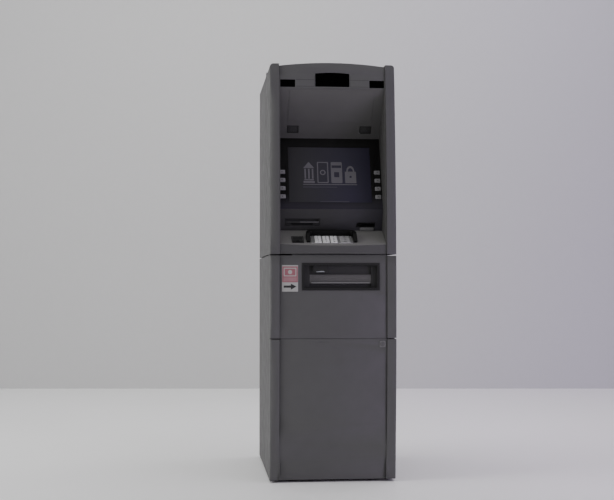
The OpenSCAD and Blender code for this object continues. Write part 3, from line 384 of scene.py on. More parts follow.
class Piece:
    """Gathers solids in a face's own millimetres and becomes one Blender object."""

    def __init__(self, face):
        self.face = face
        self.bm = bmesh.new()
        self.materials = []

    def take(self, mesh, material):
        """Adds a mesh that is in this face's millimetres."""
        if material not in self.materials:
            self.materials.append(material)
        first = len(self.bm.faces)
        self.bm.from_mesh(mesh)
        self.bm.faces.ensure_lookup_table()
        for face in self.bm.faces[first:]:
            face.material_index = self.materials.index(material)
        bpy.data.meshes.remove(mesh)

    def from_curve(self, curve, material, place):
        holder = add_object("holder", curve)
        evaluated = holder.evaluated_get(bpy.context.evaluated_depsgraph_get())
        mesh = bpy.data.meshes.new_from_object(evaluated)
        mesh.transform(place)
        bpy.data.objects.remove(holder)
        bpy.data.curves.remove(curve)
        self.take(mesh, material)
        return self

    def plate(self, material, loops, low, high, bevel=0.3):
        """A plate over the outlines, later ones being holes, from n = low to n = high."""
        curve = bpy.data.curves.new("plate", "CURVE")
        curve.dimensions = "2D"
        curve.fill_mode = "BOTH"
        for loop in loops:
            spline = curve.splines.new("POLY")
            spline.points.add(len(loop) - 1)
            for point, (x, y) in zip(spline.points, loop):
                point.co = (x, y, 0, 1)
            spline.use_cyclic_u = True
        bevel = min(bevel, (high - low) / 2)
        curve.extrude = (high - low) / 2 - bevel
        curve.bevel_depth = bevel
        curve.bevel_resolution = 1
        curve.offset = -bevel
        return self.from_curve(curve, material, Matrix.Translation((0, 0, (low + high) / 2)))

    def text(self, material, words, x, y, size, low, high):
        """Flat characters, centred at (x, y)."""
        curve = bpy.data.curves.new("text", "FONT")
        curve.body = words
        curve.size = size
        curve.align_x = "CENTER"
        curve.align_y = "CENTER"
        curve.resolution_u = 3
        curve.extrude = (high - low) / 2
        return self.from_curve(curve, material, Matrix.Translation((x, y, (low + high) / 2)))

    def tube(self, material, points, radius, smooth=True):
        """A round rod or wire through points (x, v, n)."""
        curve = bpy.data.curves.new("tube", "CURVE")
        curve.dimensions = "3D"
        curve.bevel_depth = radius
        curve.bevel_resolution = 3
        curve.use_fill_caps = True
        curve.resolution_u = 6
        spline = curve.splines.new("BEZIER" if smooth else "POLY")
        if smooth:
            spline.bezier_points.add(len(points) - 1)
            for knot, point in zip(spline.bezier_points, points):
                knot.co = point
                knot.handle_left_type = knot.handle_right_type = "AUTO"
        else:
            spline.points.add(len(points) - 1)
            for knot, point in zip(spline.points, points):
                knot.co = (*point, 1)
        return self.from_curve(curve, material, Matrix())

    def loft(self, material, rings):
        """A closed skin over rings of (x, v, n) points, with its ends filled."""
        mesh = bpy.data.meshes.new("loft")
        count = len(rings[0])
        faces = []
        for level in range(len(rings) - 1):
            for i in range(count):
                j = (i + 1) % count
                faces.append((level * count + i, level * count + j,
                              (level + 1) * count + j, (level + 1) * count + i))
        faces.append(tuple(reversed(range(count))))
        faces.append(tuple((len(rings) - 1) * count + i for i in range(count)))
        mesh.from_pydata([point for ring in rings for point in ring], [], faces)
        self.take(mesh, material)
        return self

    def bar(self, material, x0, x1, profile):
        """A straight bar along x with the (v, n) profile."""
        return self.loft(material, [[(x, v, n) for v, n in profile] for x in (x0, x1)])

    def cap(self, material, outline, low, high, crown=0.6, bevel=0.8, dish=0.0):
        """A key top: straight sides, a rounded shoulder and a slightly crowned or dished top."""
        rings = [[(x, y, low) for x, y in outline], [(x, y, high - bevel) for x, y in outline]]
        for turn in (30, 60, 90):
            lean = math.radians(turn)
            ring = inset(outline, bevel * (1 - math.cos(lean)))
            rings.append([(x, y, high - bevel + bevel * math.sin(lean)) for x, y in ring])
        half = min(max(p[0] for p in outline), max(p[1] for p in outline))
        for step in (1, 2, 3):
            ring = inset(outline, bevel + (half - bevel) * 0.27 * step)
            rise = crown * (1 - (1 - step / 3) ** 2) - dish * (step / 3) ** 2
            rings.append([(x, y, high + rise) for x, y in ring])
        return self.loft(material, rings)

    def lathe(self, material, profile, x=0.0, v=0.0, axis="n", steps=32):
        """Spins (radius, height) points round an axis through (x, v), along n, x or v."""
        rings = [[(r * math.cos(2 * math.pi * i / steps), r * math.sin(2 * math.pi * i / steps),
                   h) for i in range(steps)] for r, h in profile]
        turn = {"n": Matrix(), "x": Matrix.Rotation(math.radians(90), 4, "Y"),
                "v": Matrix.Rotation(math.radians(-90), 4, "X")}[axis]
        place = Matrix.Translation((x, v, 0)) @ turn
        return self.loft(material, [[tuple(place @ Vector(p)) for p in ring] for ring in rings])

    def studs(self, material, profile, xs, vs):
        """The same spun shape at each crossing of the xs and the vs."""
        for x in xs:
            for v in vs:
                self.lathe(material, profile, x, v)

    def screws(self, xs, vs, n, r):
        """Domed screw heads with six-sided sockets at each crossing of the xs and the vs."""
        for x in xs:
            for v in vs:
                self.plate(ZINC, [disc(x, v, r, 24), disc(x, v, r * 0.5, 6)], n, n + r * 0.45,
                           r * 0.2)
                self.plate(INK, [disc(x, v, r * 0.55, 6)], n - 0.2, n + r * 0.1, 0)

    def done(self, name, body, slot, stands_for=(), sharp=40.0, bevel=0.0):
        """Makes the object, in metres in the frame, and rides it on its body."""
        bmesh.ops.remove_doubles(self.bm, verts=self.bm.verts, dist=1e-4)
        bmesh.ops.dissolve_degenerate(self.bm, edges=self.bm.edges, dist=1e-4)
        bmesh.ops.transform(self.bm, matrix=self.face.matrix(), verts=self.bm.verts)
        bmesh.ops.recalc_face_normals(self.bm, faces=self.bm.faces)
        mesh = bpy.data.meshes.new(name)
        self.bm.to_mesh(mesh)
        self.bm.free()
        mesh.shade_smooth()
        mesh.set_sharp_from_angle(angle=math.radians(sharp))
        for material in self.materials:
            mesh.materials.append(material)
        piece = add_object(name, mesh)
        if bevel:
            round_edges(piece, bevel)
        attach(piece, body)
        if stands_for:
            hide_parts(*stands_for)
        return piece


def round_edges(piece, width, angle=35.0):
    """Softens the edges of a solid with a small two-step bevel."""
    modifier = piece.modifiers.new("edges", "BEVEL")
    modifier.width = width * MM
    modifier.segments = 2
    modifier.limit_method = "ANGLE"
    modifier.angle_limit = math.radians(angle)
    modifier.harden_normals = True
    modifier.use_clamp_overlap = True


def dress(material, node, edge):
    """Gives a CAD node a material, and rounds its edges where asked."""
    piece = NODES[node]
    for material_slot in piece.material_slots:
        material_slot.material = material
    if edge:
        weld = piece.modifiers.new("weld", "WELD")
        weld.merge_threshold = 0.005 * MM
        flatten = piece.modifiers.new("flatten", "DECIMATE")
        flatten.decimate_type = "DISSOLVE"
        flatten.angle_limit = math.radians(0.15)
        round_edges(piece, edge)


# ---- camera, light and stage ----

CAMERA_AT = (-0.508, -4.668, 0.7225)   # metres, at the height of a seated viewer
CAMERA_YAW = 5.43                      # degrees towards +X
CAMERA_PITCH = 1.56                    # degrees upward
LENS_LENGTH = 70.47                    # millimetres, on a 36 mm sensor
WALL_Y = 3.55                          # metres behind the machine


def add_camera():
    data = bpy.data.cameras.new("camera")
    data.lens = LENS_LENGTH
    data.sensor_width = 36.0
    camera = add_object("camera", data)
    camera.location = CAMERA_AT
    camera.rotation_euler = (math.radians(90 + CAMERA_PITCH), 0, math.radians(-CAMERA_YAW))
    bpy.context.scene.camera = camera


def add_area(name, location, target, size, power, colour):
    """A soft square light that faces its target."""
    data = bpy.data.lights.new(name, "AREA")
    data.shape = "RECTANGLE"
    data.size, data.size_y = size
    data.energy = power
    data.color = colour
    lamp = add_object(name, data)
    lamp.location = location
    lamp.rotation_euler = (Vector(target) - Vector(location)).to_track_quat("-Z", "Y").to_euler()


def stage_sheet(name, corners, material):
    mesh = bpy.data.meshes.new(name)
    mesh.from_pydata(corners, [], [tuple(range(len(corners)))])
    mesh.materials.append(material)
    add_object(name, mesh)


def add_stage():
    """Pale floor, and a wall that can be seen only from its front."""
    # Painted light: floor and wall turn lavender towards the right, standing for the tinted light on that side.
    floor = finish_of("pale_floor", tone(0.94), 0.5, grain=60.0, bump=0.02, mottle=0.02,
                      cloudy=0.8, fade=("X", 0.0, 0.9, (0.97, 0.925, 1.0, 1.0)))
    wall = finish_of("pale_wall", tone(0.51), 0.8, grain=60.0, bump=0.02, mottle=0.02,
                     cloudy=0.4, fade=("X", 0.2, 2.2, tone(0.5, (1.0, 0.955, 1.1))))
    tree = wall.node_tree
    one_sided = add_node(tree, "MixShader", "Shader",
                         {"Fac": add_node(tree, "NewGeometry", "Backfacing", {}),
                          1: tree.nodes["Principled BSDF"].outputs["BSDF"],
                          2: add_node(tree, "BsdfTransparent", "BSDF", {})})
    feed(tree, tree.nodes["Material Output"], {"Surface": one_sided})
    reach, height = 14.0, 9.0
    stage_sheet("floor", [(-reach, -reach, 0), (reach, -reach, 0), (reach, reach, 0),
                          (-reach, reach, 0)], floor)
    lean = math.tan(math.radians(CAMERA_YAW)) * reach
    stage_sheet("backdrop", [(-reach, WALL_Y + lean, 0), (reach, WALL_Y - lean, 0),
                             (reach, WALL_Y - lean, height), (-reach, WALL_Y + lean, height)],
                wall)


def add_light():
    world = bpy.data.worlds.new("studio")
    bpy.context.scene.world = world
    world.use_nodes = True
    ambient = world.node_tree.nodes["Background"]
    ambient.inputs["Color"].default_value = (1.0, 1.0, 1.0, 1.0)
    ambient.inputs["Strength"].default_value = 0.42
    add_area("key", (-4.2, -0.9, 2.4), (0, 0, 0.8), (2.6, 2.6), 128.0, (1.0, 0.995, 0.98))
    add_area("overhead", (0.2, -1.4, 3.6), (0, 0, 0.6), (3.0, 3.0), 18.0, (1.0, 1.0, 1.0))
    add_area("tint", (2.9, -2.6, 0.7), (0.2, -0.3, 0.45), (1.6, 1.6), 44.0, (0.84, 0.7, 1.0))
    add_area("wall_wash", (0.0, 1.0, 3.8), (0, 3.5, 1.8), (5.0, 1.0), 78.0, (1.0, 1.0, 1.0))
    add_area("floor_glow", (1.3, 0.1, 1.9), (0.9, -0.1, 0), (1.4, 1.4), 8.0, (1.0, 0.95, 1.0))


# ---- places that the pieces share ----

KEYPAD_OUT = -Vector(JOINTS["pad_key_1_press"]["axis"])
BEZEL_OUT = -Vector(JOINTS["side_key_1_press"]["axis"])
SHELF_FACE = face_on("keypad_shelf", KEYPAD_OUT)
BEZEL_FACE = face_on("screen_bezel", BEZEL_OUT)
MID_FACE = widest_face("mid_panel", (0, -1, -0.3))
CANOPY_FACE = widest_face("recess_liner", (0, -1, -0.7))
OUTLET_FACE = Face((0, corner("dispenser_bezel").y, 0), FRONT)
BACK_FACE = Face((0, corner("power_supply", True).y, 0), BACK, LEFT)
TOP_FACE = Face((0, 0, corner("top_cover", True).z), UP)
MIDDLE_FACE = Face((0, 0, 0), FRONT)


# Each row: material, width of the rounded edges (0 for none), CAD nodes.
DRESS = (
    (PAINT, 0.7, "pedestal_shell topbox_shell top_cover rear_door"),
    (MOULDED, 0.9, "crown lower_door"), (POST, 0.9, "fascia_posts"), (DOOR, 0.9, "dispenser_door"),
    (LINER, 0.8, "recess_liner"), (MID, 0.8, "mid_panel"), (MID, 0.3, "audio_panel"),
    (SHELF, 0.8, "keypad_shelf"), (ACRYLIC, 0.3, "crown_windows"), (SATIN, 0.5, "screen_bezel"),
    (SURROUND, 0.6, "dispenser_bezel"), (MOUTH, 0.4, "receipt_printer"),
    (BLACK, 0.4, "card_reader display_panel combination_dial"),
    (PAD_STEEL, 0.3, "keypad_base"), (ZINC, 0.3, "leveling_feet pc_core power_supply"),
    (PLUG, 0.3, "door_hinges door_lock"), (STEEL, 0, "dispenser_mechanism safe_bolts"),
    (SAFE, 1.0, "safe_body safe_door"), (CHROME, 0.8, "safe_handle"),
    (CASSETTE, 1.0, "cassette_1 cassette_2"), (PAPER, 0.3, "paper_roll"),
    (LENS, 0, "canopy_lamps"), (SHUTTER, 0.5, "dispenser_shutter"), (HOOD, 2.0, "keypad_shield"),
    (SIDE_KEY, 0, " ".join(f"fdk_{n}" for n in range(1, 9))),
    (PAD_KEY, 0, " ".join(f"key_{n}" for n in range(1, 17))))


# ---- crown and canopy ----

def add_crown_seams():
    """Two fine horizontal seams and an upright one on each side of the middle window."""
    aside, middle = 100, 1454
    reach, upper, lower, head = 34, 12.0, -13.0, 27
    for side, name in ((-1, "left"), (1, "right")):
        piece = Piece(surface_face("crown", side * aside, middle))
        for height in (upper, lower):
            piece.plate(SEAM, [box(-reach, height - 0.6, reach, height + 0.6)], -0.3, 0.1, 0)
        edge = -side * reach
        piece.plate(SEAM, [box(edge - 0.5, lower, edge + 0.5, head)], -0.3, 0.1, 0)
        piece.done(f"crown_seam_{name}", "fascia", "fascia_plastic")


def add_canopy():
    """Ribbed smoked lamp lenses."""
    low, high = CANOPY_FACE.extents("canopy_lamps")
    inner = min(abs(vertex.co.x) for vertex in NODES["canopy_lamps"].data.vertices) / MM
    lip = 4.0
    lenses = Piece(CANOPY_FACE)
    for side in (-1, 1):
        x0, x1 = sorted((side * (inner + lip), side * (high.x - lip)))
        y0, y1 = low.y + lip, high.y - lip
        lenses.plate(LENS, [box(x0, y0, x1, y1, 2)], low.z, high.z, 0.5)
        lenses.plate(BLACK, [box(x0 - 1.4, y0 - 1.4, x1 + 1.4, y1 + 1.4, 3),
                             box(x0 + 1.2, y0 + 1.2, x1 - 1.2, y1 - 1.2, 1.4)],
                     high.z - 0.6, high.z + 1.2, 0.4)
        for rib in range(7):
            height = y0 + 3 + rib * (y1 - y0 - 6) / 6
            lenses.tube(LENS, [(x0 + 2, height, high.z), (x1 - 2, height, high.z)], 0.7, False)
    lenses.done("canopy_lenses", "fascia", "lamp_lens", stands_for=("canopy_lamps",))


# ---- screen ----

def pictogram_bank(x, w, v0, v1):
    """A gable over three columns on two steps."""
    h = v1 - v0
    loops = [[(x - w, v1 - h * 0.3), (x + w, v1 - h * 0.3), (x, v1)],
             box(x - w, v0, x + w, v0 + h * 0.09), box(x - w * 0.86, v0 + h * 0.12, x + w * 0.86,
                                                      v0 + h * 0.18)]
    for column in (-0.66, 0.0, 0.66):
        centre = x + column * w
        loops.append(box(centre - w * 0.15, v0 + h * 0.2, centre + w * 0.15, v1 - h * 0.33))
    return loops


def pictogram_note(x, w, v0, v1):
    """An upright bank note: a frame round a coin."""
    middle = (v0 + v1) / 2
    return [box(x - w, v0, x + w, v1, 3), box(x - w + 4, v0 + 4, x + w - 4, v1 - 4, 2),
            disc(x, middle, w * 0.52), disc(x, middle, w * 0.3)]


def pictogram_card(x, w, v0, v1):
    """An upright card with its stripe and chip."""
    h = v1 - v0
    return [box(x - w, v0, x + w, v1, 4), box(x - w + 3, v0 + h * 0.72, x + w - 3, v0 + h * 0.84),
            box(x - w * 0.45, v0 + h * 0.28, x + w * 0.45, v0 + h * 0.52, 2)]


def pictogram_lock(x, w, v0, v1):
    """A padlock with its shackle and keyhole."""
    h = v1 - v0
    top = v0 + h * 0.55
    shackle = arc(x, top, w * 0.72, 0, 180, 16) + arc(x, top, w * 0.44, 180, 0, 16)
    lift = [(px, top + (py - top) * 1.55) for px, py in shackle]
    return [box(x - w, v0, x + w, top, 3), lift, disc(x, v0 + h * 0.3, w * 0.2)]


def add_screen():
    """Glass with four generic pictograms, a rule below them and a fine line at the foot."""
    low, high = BEZEL_FACE.extents("display_panel")
    half = high.x - 31.0
    foot, head = low.y + 10.5, high.y - 8.5
    level = high.z
    Piece(BEZEL_FACE).plate(GLASS, [box(-half, foot, half, head, 1)], level, level + 0.7, 0.2) \
        .done("screen_glass", "fascia", "screen")
    art = Piece(BEZEL_FACE)
    v0, v1, reach = foot + 78, foot + 164, 101
    pictograms = ((-78.0, pictogram_bank), (-26.0, pictogram_note), (26.0, pictogram_card),
                  (78.0, pictogram_lock))
    shapes = [(GRAPHIC, draw(middle, 21.0, v0, v1)) for middle, draw in pictograms]
    shapes += [(GRAPHIC, [box(-reach, foot + 70.5, reach, foot + 73.5)]),
               (FAINT, [box(-reach, foot + 60, 26, foot + 63)]),
               (FAINT, [box(-39, foot + 2, 69, foot + 4.5)])]
    for material, loops in shapes:
        art.plate(material, loops, level + 0.7, level + 0.8, 0)
    art.done("screen_pictograms", "fascia", "screen")


def add_side_keys():
    """Eight satin key caps beside the screen, each with an arrow towards it."""
    lip = 1.2
    for n in range(1, 9):
        node = f"fdk_{n}"
        face, w, h, foot, head = middle_of(BEZEL_FACE, node)
        w, h = w - lip, h - lip
        side = 1 if face.origin.x < 0 else -1
        key = Piece(face)
        key.cap(SIDE_KEY, box(-w, -h, w, h, 3), -6.0, head, 0.4)
        key.plate(SIDE_KEY, [box(-w - lip, -h - lip, w + lip, h + lip, 2)], -7.0, -5.2, 0.2)
        key.lathe(LIGHT, [(3.9, foot), (3.9, -6.5)])
        key.plate(MARK, [[(-3.5 * side, -3.4), (3.8 * side, 0), (-3.5 * side, 3.4)]],
                  head + 0.3, head + 0.5, 0)
        key.done(f"side_key_cap_{n}", BODY_OF[node], "side_key", (node,))


# ---- middle panel ----

def add_middle_panel():
    """Lip and teeth of the receipt mouth, the lip's left part in painted shade, and lip of the card mouth with its
    arrows.
    """
    x0, mid, x1 = -167.0, -114.0, -45.0
    lip = [(29.0, -6.0), (29.0, -0.4), (30.0, 0.4), (32.6, 0.4), (34.5, -0.8), (34.5, -6.0)]
    # Painted shade: the left part of the lip takes the darker panel colour, the right part the lighter rim colour.
    Piece(MID_FACE).bar(MID, x0, mid, lip).bar(RIM, mid, x1, lip) \
        .done("receipt_lip", "fascia", "light_plastic", bevel=0.3)
    tear = Piece(MID_FACE)
    for i in range(38):
        x = x0 + 6 + i * 2.9
        tear.plate(MOUTH, [[(x, 28.5), (x + 2.4, 28.5), (x + 1.2, 26.6)]], -0.6, 0.2, 0)
    tear.done("receipt_tear_edge", "fascia", "black_plastic")
    high = MID_FACE.extents("card_reader")[1]
    card = Piece(MID_FACE)
    x0, x1 = 109.0, 161.0
    card.plate(LIGHT, [box(x0, 1.6, x1, 13.6, 3)], high.z - 0.1, high.z + 1.0, 0.4)
    for arrow in range(3):
        foot = 3.4 + arrow * 3.0
        x = (x0 + x1) / 2
        card.plate(MARK, [[(x - 3, foot), (x, foot + 1.6), (x + 3, foot), (x, foot + 0.9)]],
                   high.z + 1.0, high.z + 1.1, 0)
    card.done("card_lip", "fascia", "light_plastic")


# ---- shelf ----

def cross(size, arm):
    """A diagonal cross."""
    plus = [(arm, arm), (arm, size), (-arm, size), (-arm, arm), (-size, arm), (-size, -arm),
            (-arm, -arm), (-arm, -size), (arm, -size), (arm, -arm), (size, -arm), (size, arm)]
    return turned(plus, 45)


def add_keypad():
    """Sixteen metal key caps with filled digits and plain symbols."""
    digits = {1: "1", 2: "2", 3: "3", 5: "4", 6: "5", 7: "6", 9: "7", 10: "8", 11: "9",
              13: "*", 14: "0", 15: "#"}
    symbols = {4: [cross(4.0, 0.7)],
               8: [[(-5, 0), (0, 3), (0, 1), (6, 1), (6, -1), (0, -1), (0, -3)]],
               12: [disc(0, 0, 3.6), disc(0, 0, 2.5)],
               16: [box(-6, 0.9, 6, 2.3), box(-6, -2.3, 6, -0.9)]}
    for n in range(1, 17):
        node = f"key_{n}"
        face, w, h, foot, head = middle_of(SHELF_FACE, node)
        key = Piece(face)
        key.cap(PAD_SIDE if n in symbols else PAD_KEY, box(-w, -h, w, h, 2), foot, head, 0.3, 0.7)
        if n in digits:
            key.text(INK, digits[n], 0, 0, 12.5, head + 0.2, head + 0.42)
        else:
            key.plate(INK, symbols[n], head + 0.2, head + 0.42, 0)
        key.done(f"keypad_cap_{n}", BODY_OF[node], "pad_key", (node,))


def add_keypad_plate():
    low, high = SHELF_FACE.extents("keypad_base")
    top = high.z
    plate = Piece(SHELF_FACE)
    plate.screws((low.x + 6, high.x - 4.6), (low.y + 6.5, high.y - 6.5), top, 2.2)
    plate.plate(PAD_STEEL, [box(low.x + 1, low.y + 1, high.x - 1, high.y - 1, 4),
                            box(low.x + 2.4, low.y + 2.4, high.x - 2.4, high.y - 2.4, 3)],
                top - 0.2, top + 0.5, 0.2)
    plate.done("keypad_plate_trim", "fascia", "pad_steel")


def add_audio_panel():
    """Dark insert with a row of raised dots, a small grille and the ring of the socket."""
    low, high = SHELF_FACE.extents("audio_panel")
    panel = Piece(SHELF_FACE)
    middle, front, rear, top = (low.x + high.x) / 2, low.y, high.y, high.z
    panel.plate(MOUTH, [box(low.x + 3, front + 8, high.x - 3, rear - 3, 3),
                        disc(middle, front + 12, 3.4)], top - 0.3, top + 0.3, 0.2)
    panel.plate(HOOD, [box(low.x + 1.5, front + 0.5, high.x - 1.5, front + 8, 1)],
                top - 0.3, top + 0.8, 0.3)
    panel.studs(LIGHT, [(1.1, top), (1.1, top + 0.7), (0.5, top + 1.0)],
                [low.x + 7 + i * 5.0 for i in range(7)], (rear - 7,))
    for i in range(4):
        for side in (-1, 1):
            panel.lathe(LIGHT, [(0.9, top), (0.9, top + 0.6), (0.4, top + 0.9)],
                        middle + side * 17.5, rear - 13 - i * 6)
    for row in range(4):
        for column in range(5):
            panel.lathe(INK, [(1.2, top + 0.2), (1.2, top + 0.4)], middle - 9 + column * 4.5,
                        rear - 16 - row * 4.5, steps=12)
    panel.lathe(HOOD, [(6.2, top - 0.2), (6.2, top + 0.8), (5.2, top + 1.4),
                       (3.6, top + 1.0), (3.4, top - 2.0)], middle, front + 12)
    panel.done("audio_insert", "fascia", "black_plastic")


# ---- cash outlet and lower doors ----

def add_outlet():
    """Tub details: a lamp housing hung from the roof of the tub, its thin lamp, and a thin light crescent on the
    back wall, a painted highlight for the lit lip of a finger recess.
    """
    foot, roof = corner("dispenser_bezel").z + 9, corner("dispenser_bezel", True).z - 9
    housing = [(roof + 0.5, -14.0), (roof + 0.5, -6.0), (roof - 18, -6.5), (roof - 24, -8.0),
               (roof - 24, -13.0)]
    Piece(OUTLET_FACE).bar(SURROUND, -74, -20, housing).done("lamp_housing", "cash_door",
                                                             "black_plastic", bevel=1.2)
    lamp = [(-63, roof - 24.0), (-31, roof - 24.0), (-36, roof - 20.0), (-46, roof - 20.0),
            (-63, roof - 22.0)]
    Piece(OUTLET_FACE).plate(LAMP, [lamp], -7.6, -6.2, 0.3) \
        .done("outlet_lamp", "cash_door", "light_plastic")
    # Painted highlight: a light crescent on the back wall stands for the lit lip of a finger recess.
    crescent_highlight = (arc(20, foot + 119, 110, 249, 291, 14)
             + arc(20, foot + 120.6, 110, 291, 249, 14))
    Piece(OUTLET_FACE).plate(RIM, [crescent_highlight], -23.9, -22.6, 0.3) \
        .done("outlet_crescent_highlight", "cash_door", "light_plastic")


def add_shutter():
    """Lip along the foot of the shutter, lighter as a painted highlight, and fine ribs up its face."""
    low, high = OUTLET_FACE.extents("dispenser_shutter")
    x0, x1 = low.x + 9, high.x - 9
    shutter = Piece(OUTLET_FACE)
    lip = [(low.y + 0.2, high.z - 6), (low.y + 0.2, high.z + 0.3), (low.y + 2.0, high.z + 0.9),
           (low.y + 4.2, high.z + 0.2), (low.y + 4.2, high.z - 6)]
    # Painted highlight: the lip along the shutter's foot is given the lighter colour.
    shutter.bar(LIGHT, x0, x1, lip)
    lip_reach = 9.5
    face = high.z - lip_reach
    for i in range(5):
        height = low.y + 8 + i * 4.6
        shutter.bar(SHUTTER, x0, x1, [(height, face - 0.3), (height + 0.4, face + 0.5),
                                      (height + 1.4, face + 0.5), (height + 1.8, face - 0.3)])
    shutter.done("shutter_trim", "shutter", "shutter_plastic")


def add_label():
    """A plain label: a note pictogram on red over an arrow towards the outlet, on white."""
    face = surface_face("dispenser_door", -158.5, 736.5)
    label = Piece(face)
    label.plate(WHITE, [box(-29, -46, 29, 49.5, 1.5)], -0.2, 0.25, 0.05)
    label.plate(RED, [box(-28, -12.5, 28, 45, 1)], 0.25, 0.32, 0)
    label.plate(PINK, [box(-24, -9, 24, 5, 1)], 0.32, 0.36, 0)
    label.plate(WHITE, [box(-23, 9, 23, 40, 2), box(-19.5, 12.5, 19.5, 36.5, 1),
                        disc(0, 24.5, 7.5)], 0.32, 0.36, 0)
    label.plate(INK, [[(-23, -32), (3, -32), (3, -39), (23, -28), (3, -17), (3, -24), (-23, -24)]],
                0.25, 0.32, 0)
    label.done("door_label", "cash_door", "light_plastic")


def add_gasket():
    """Seals along the tops of both lower doors, the upper one open for a short way at the left."""
    end, front, rear = 194, -342.8, -308
    for node, body, start in (("dispenser_door", "cash_door", -152),
                              ("lower_door", "low_door", -end)):
        Piece(Face((0, 0, corner(node, True).z), UP)) \
            .plate(GASKET, [box(start, front, end, rear, 2)], -0.2, 3.5, 0.6) \
            .done(f"{node}_seal", body, "black_plastic")


def add_lock():
    """A rounded square escutcheon round the lock."""
    lock = Vector(JOINTS["lock_turn"]["pos_m"]) / MM
    aside = 10.0
    face = surface_face("lower_door", lock.x + aside, lock.z)
    Piece(face).plate(ESCUTCHEON, [box(-aside - 11, -11, -aside + 11, 11, 3.5),
                                   disc(-aside, 0, 8.6)], -0.3, 2.0, 0.6) \
        .done("lock_escutcheon", "low_door", "light_plastic")


# ---- top and back ----

def add_top_and_back():
    """Screws of the casings, hoods over the louvres, the finger hole's grommet, the inlet's frame
    and a blank plate."""
    lid = Piece(TOP_FACE)
    y0, y1 = corner("top_cover").y, corner("top_cover", True).y
    lid.screws((-210, 0, 210), (y0 + 58, (y0 + y1) / 2 + 20, y1 - 16), 0, 3.4)
    lid.done("lid_screws", "cabinet", "zinc_steel")
    hoods = Piece(BACK_FACE)
    for i in range(12):
        foot = 1300 + i * 12
        hoods.bar(PAINT, -41, 121, [(foot + 5.0, -0.2), (foot + 6.4, -0.2), (foot + 1.6, 3.2),
                                    (foot + 0.8, 2.6)])
    hoods.done("louvre_hoods", "service_door", "cabinet_paint")
    grip = Piece(BACK_FACE)
    grip.lathe(RUBBER, [(14.0, -2.2), (17.5, -0.2), (17.8, 0.8), (16.4, 1.6), (14.2, 1.2),
                        (13.2, -2.0)], 160, 1180)
    grip.screws((-172, 172), (890,), 0, 4.2)
    grip.screws((172,), (1470,), 0, 4.2)
    grip.done("service_door_fittings", "service_door", "black_plastic")
    inlet = Piece(BACK_FACE)
    inlet.plate(BLACK, [box(150, 834, 188, 864, 4), box(157, 841, 181, 857, 2)], 0.0, 2.2, 0.5)
    inlet.screws((153.4, 184.6), (849,), 2.0, 2.0)
    inlet.done("inlet_frame", "cabinet", "black_plastic")
    plate = Piece(BACK_FACE)
    plate.plate(STEEL, [box(60, 1060, 140, 1110, 3)], -0.1, 0.8, 0.2)
    plate.studs(ZINC, [(1.8, 0.7), (1.8, 1.3), (1.0, 1.8)], (64.5, 135.5), (1064.5, 1105.5))
    plate.done("blank_plate", "service_door", "zinc_steel")
    low = Piece(Face((0, corner("pedestal_shell", True).y, 0), BACK, LEFT))
    low.screws((-216, 216), (30, 220, 410, 600, 796), 0, 3.2)
    low.done("pedestal_screws", "cabinet", "zinc_steel")


# ---- inside ----

def add_safe_fittings():
    """Ticks and numbers of the dial, its index, a plate on the safe door and the handle's grip."""
    dial = Vector(JOINTS["dial_spin"]["pos_m"]) / MM
    ring = Piece(Face(dial, FRONT))
    level, ticks, numbers, outer, number_at = 12.0, 50, 10, 29, 22
    for i in range(ticks):
        inner, wide = (25.5, 0.45) if i % 5 == 0 else (27.4, 0.25)
        ring.plate(WHITE, [turned(box(-wide, inner, wide, outer), -i * 360 / ticks)],
                   level - 0.1, level + 0.15, 0)
    for i in range(numbers):
        place = turned([(0, number_at)], -i * 360 / numbers)[0]
        ring.text(WHITE, str(i * 10), *place, 4.6, level - 0.1, level + 0.15)
    ring.done("dial_scale", "vault_dial", "light_plastic")
    trim = Piece(Face((0, dial.y, 0), FRONT))
    trim.plate(WHITE, [[(dial.x - 3, dial.z + 43), (dial.x + 3, dial.z + 43),
                        (dial.x, dial.z + 37.5)]], -0.1, 0.5, 0.1)
    trim.plate(STEEL, [box(-90, 436, 90, 470, 3)], -0.1, 1.0, 0.3)
    trim.studs(ZINC, [(1.8, 0.9), (1.8, 1.6), (1.0, 2.1)], (-84, 84), (441, 465))
    trim.done("safe_door_trim", "vault_door", "safe_paint")
    handle = Vector(JOINTS["handle_turn"]["pos_m"]) / MM
    high = MIDDLE_FACE.extents("safe_handle")[1]
    grip = Piece(Face((handle.x, -high.z, handle.z), FRONT))
    grip.lathe(CHROME, [(9.4, -3.0), (9.4, 0.2), (7.0, 1.6), (3.0, 2.2)], 0, -104)
    for v in range(-88, -20, 9):
        grip.bar(RUBBER, -9.6, 9.6, [(v, -14.2), (v, -1.6), (v + 4, -1.6), (v + 4, -14.2)])
    grip.done("handle_grip", "vault_handle", "handle_chrome")


def add_cassette_fittings():
    """Latch plates, a blank card in its holder and ribs on the front of each cassette."""
    front_y = -95.0
    for n in (1, 2):
        front = Piece(Face((0, front_y, corner(f"cassette_{n}").z), FRONT))
        front.plate(WHITE, [box(-60, 22, 60, 62, 2)], 0.0, 0.8, 0.2)
        front.plate(CASSETTE, [box(-64, 18, 64, 66, 3), box(-58, 24, 58, 60, 2)], 0.0, 2.0, 0.6)
        front.plate(RED if n == 1 else WIRE["blue"], [box(-52, 30, -30, 54, 2)], 0.8, 1.1, 0.1)
        for side in (-1, 1):
            x0, x1 = sorted((side * 90, side * 118))
            front.plate(STEEL, [box(x0, 90, x1, 122, 3)], 0.0, 4.0, 1.0)
            front.plate(BLACK, [box(x0 + 6, 96, x1 - 6, 116, 2)], 4.0, 6.0, 0.8)
        for i in range(4):
            front.bar(CASSETTE, -108, 108, [(132 + i * 8, -0.2), (133 + i * 8, 1.4),
                                            (135 + i * 8, 1.4), (136 + i * 8, -0.2)])
        front.done(f"cassette_front_{n}", f"tray_{n}", "cassette_plastic")


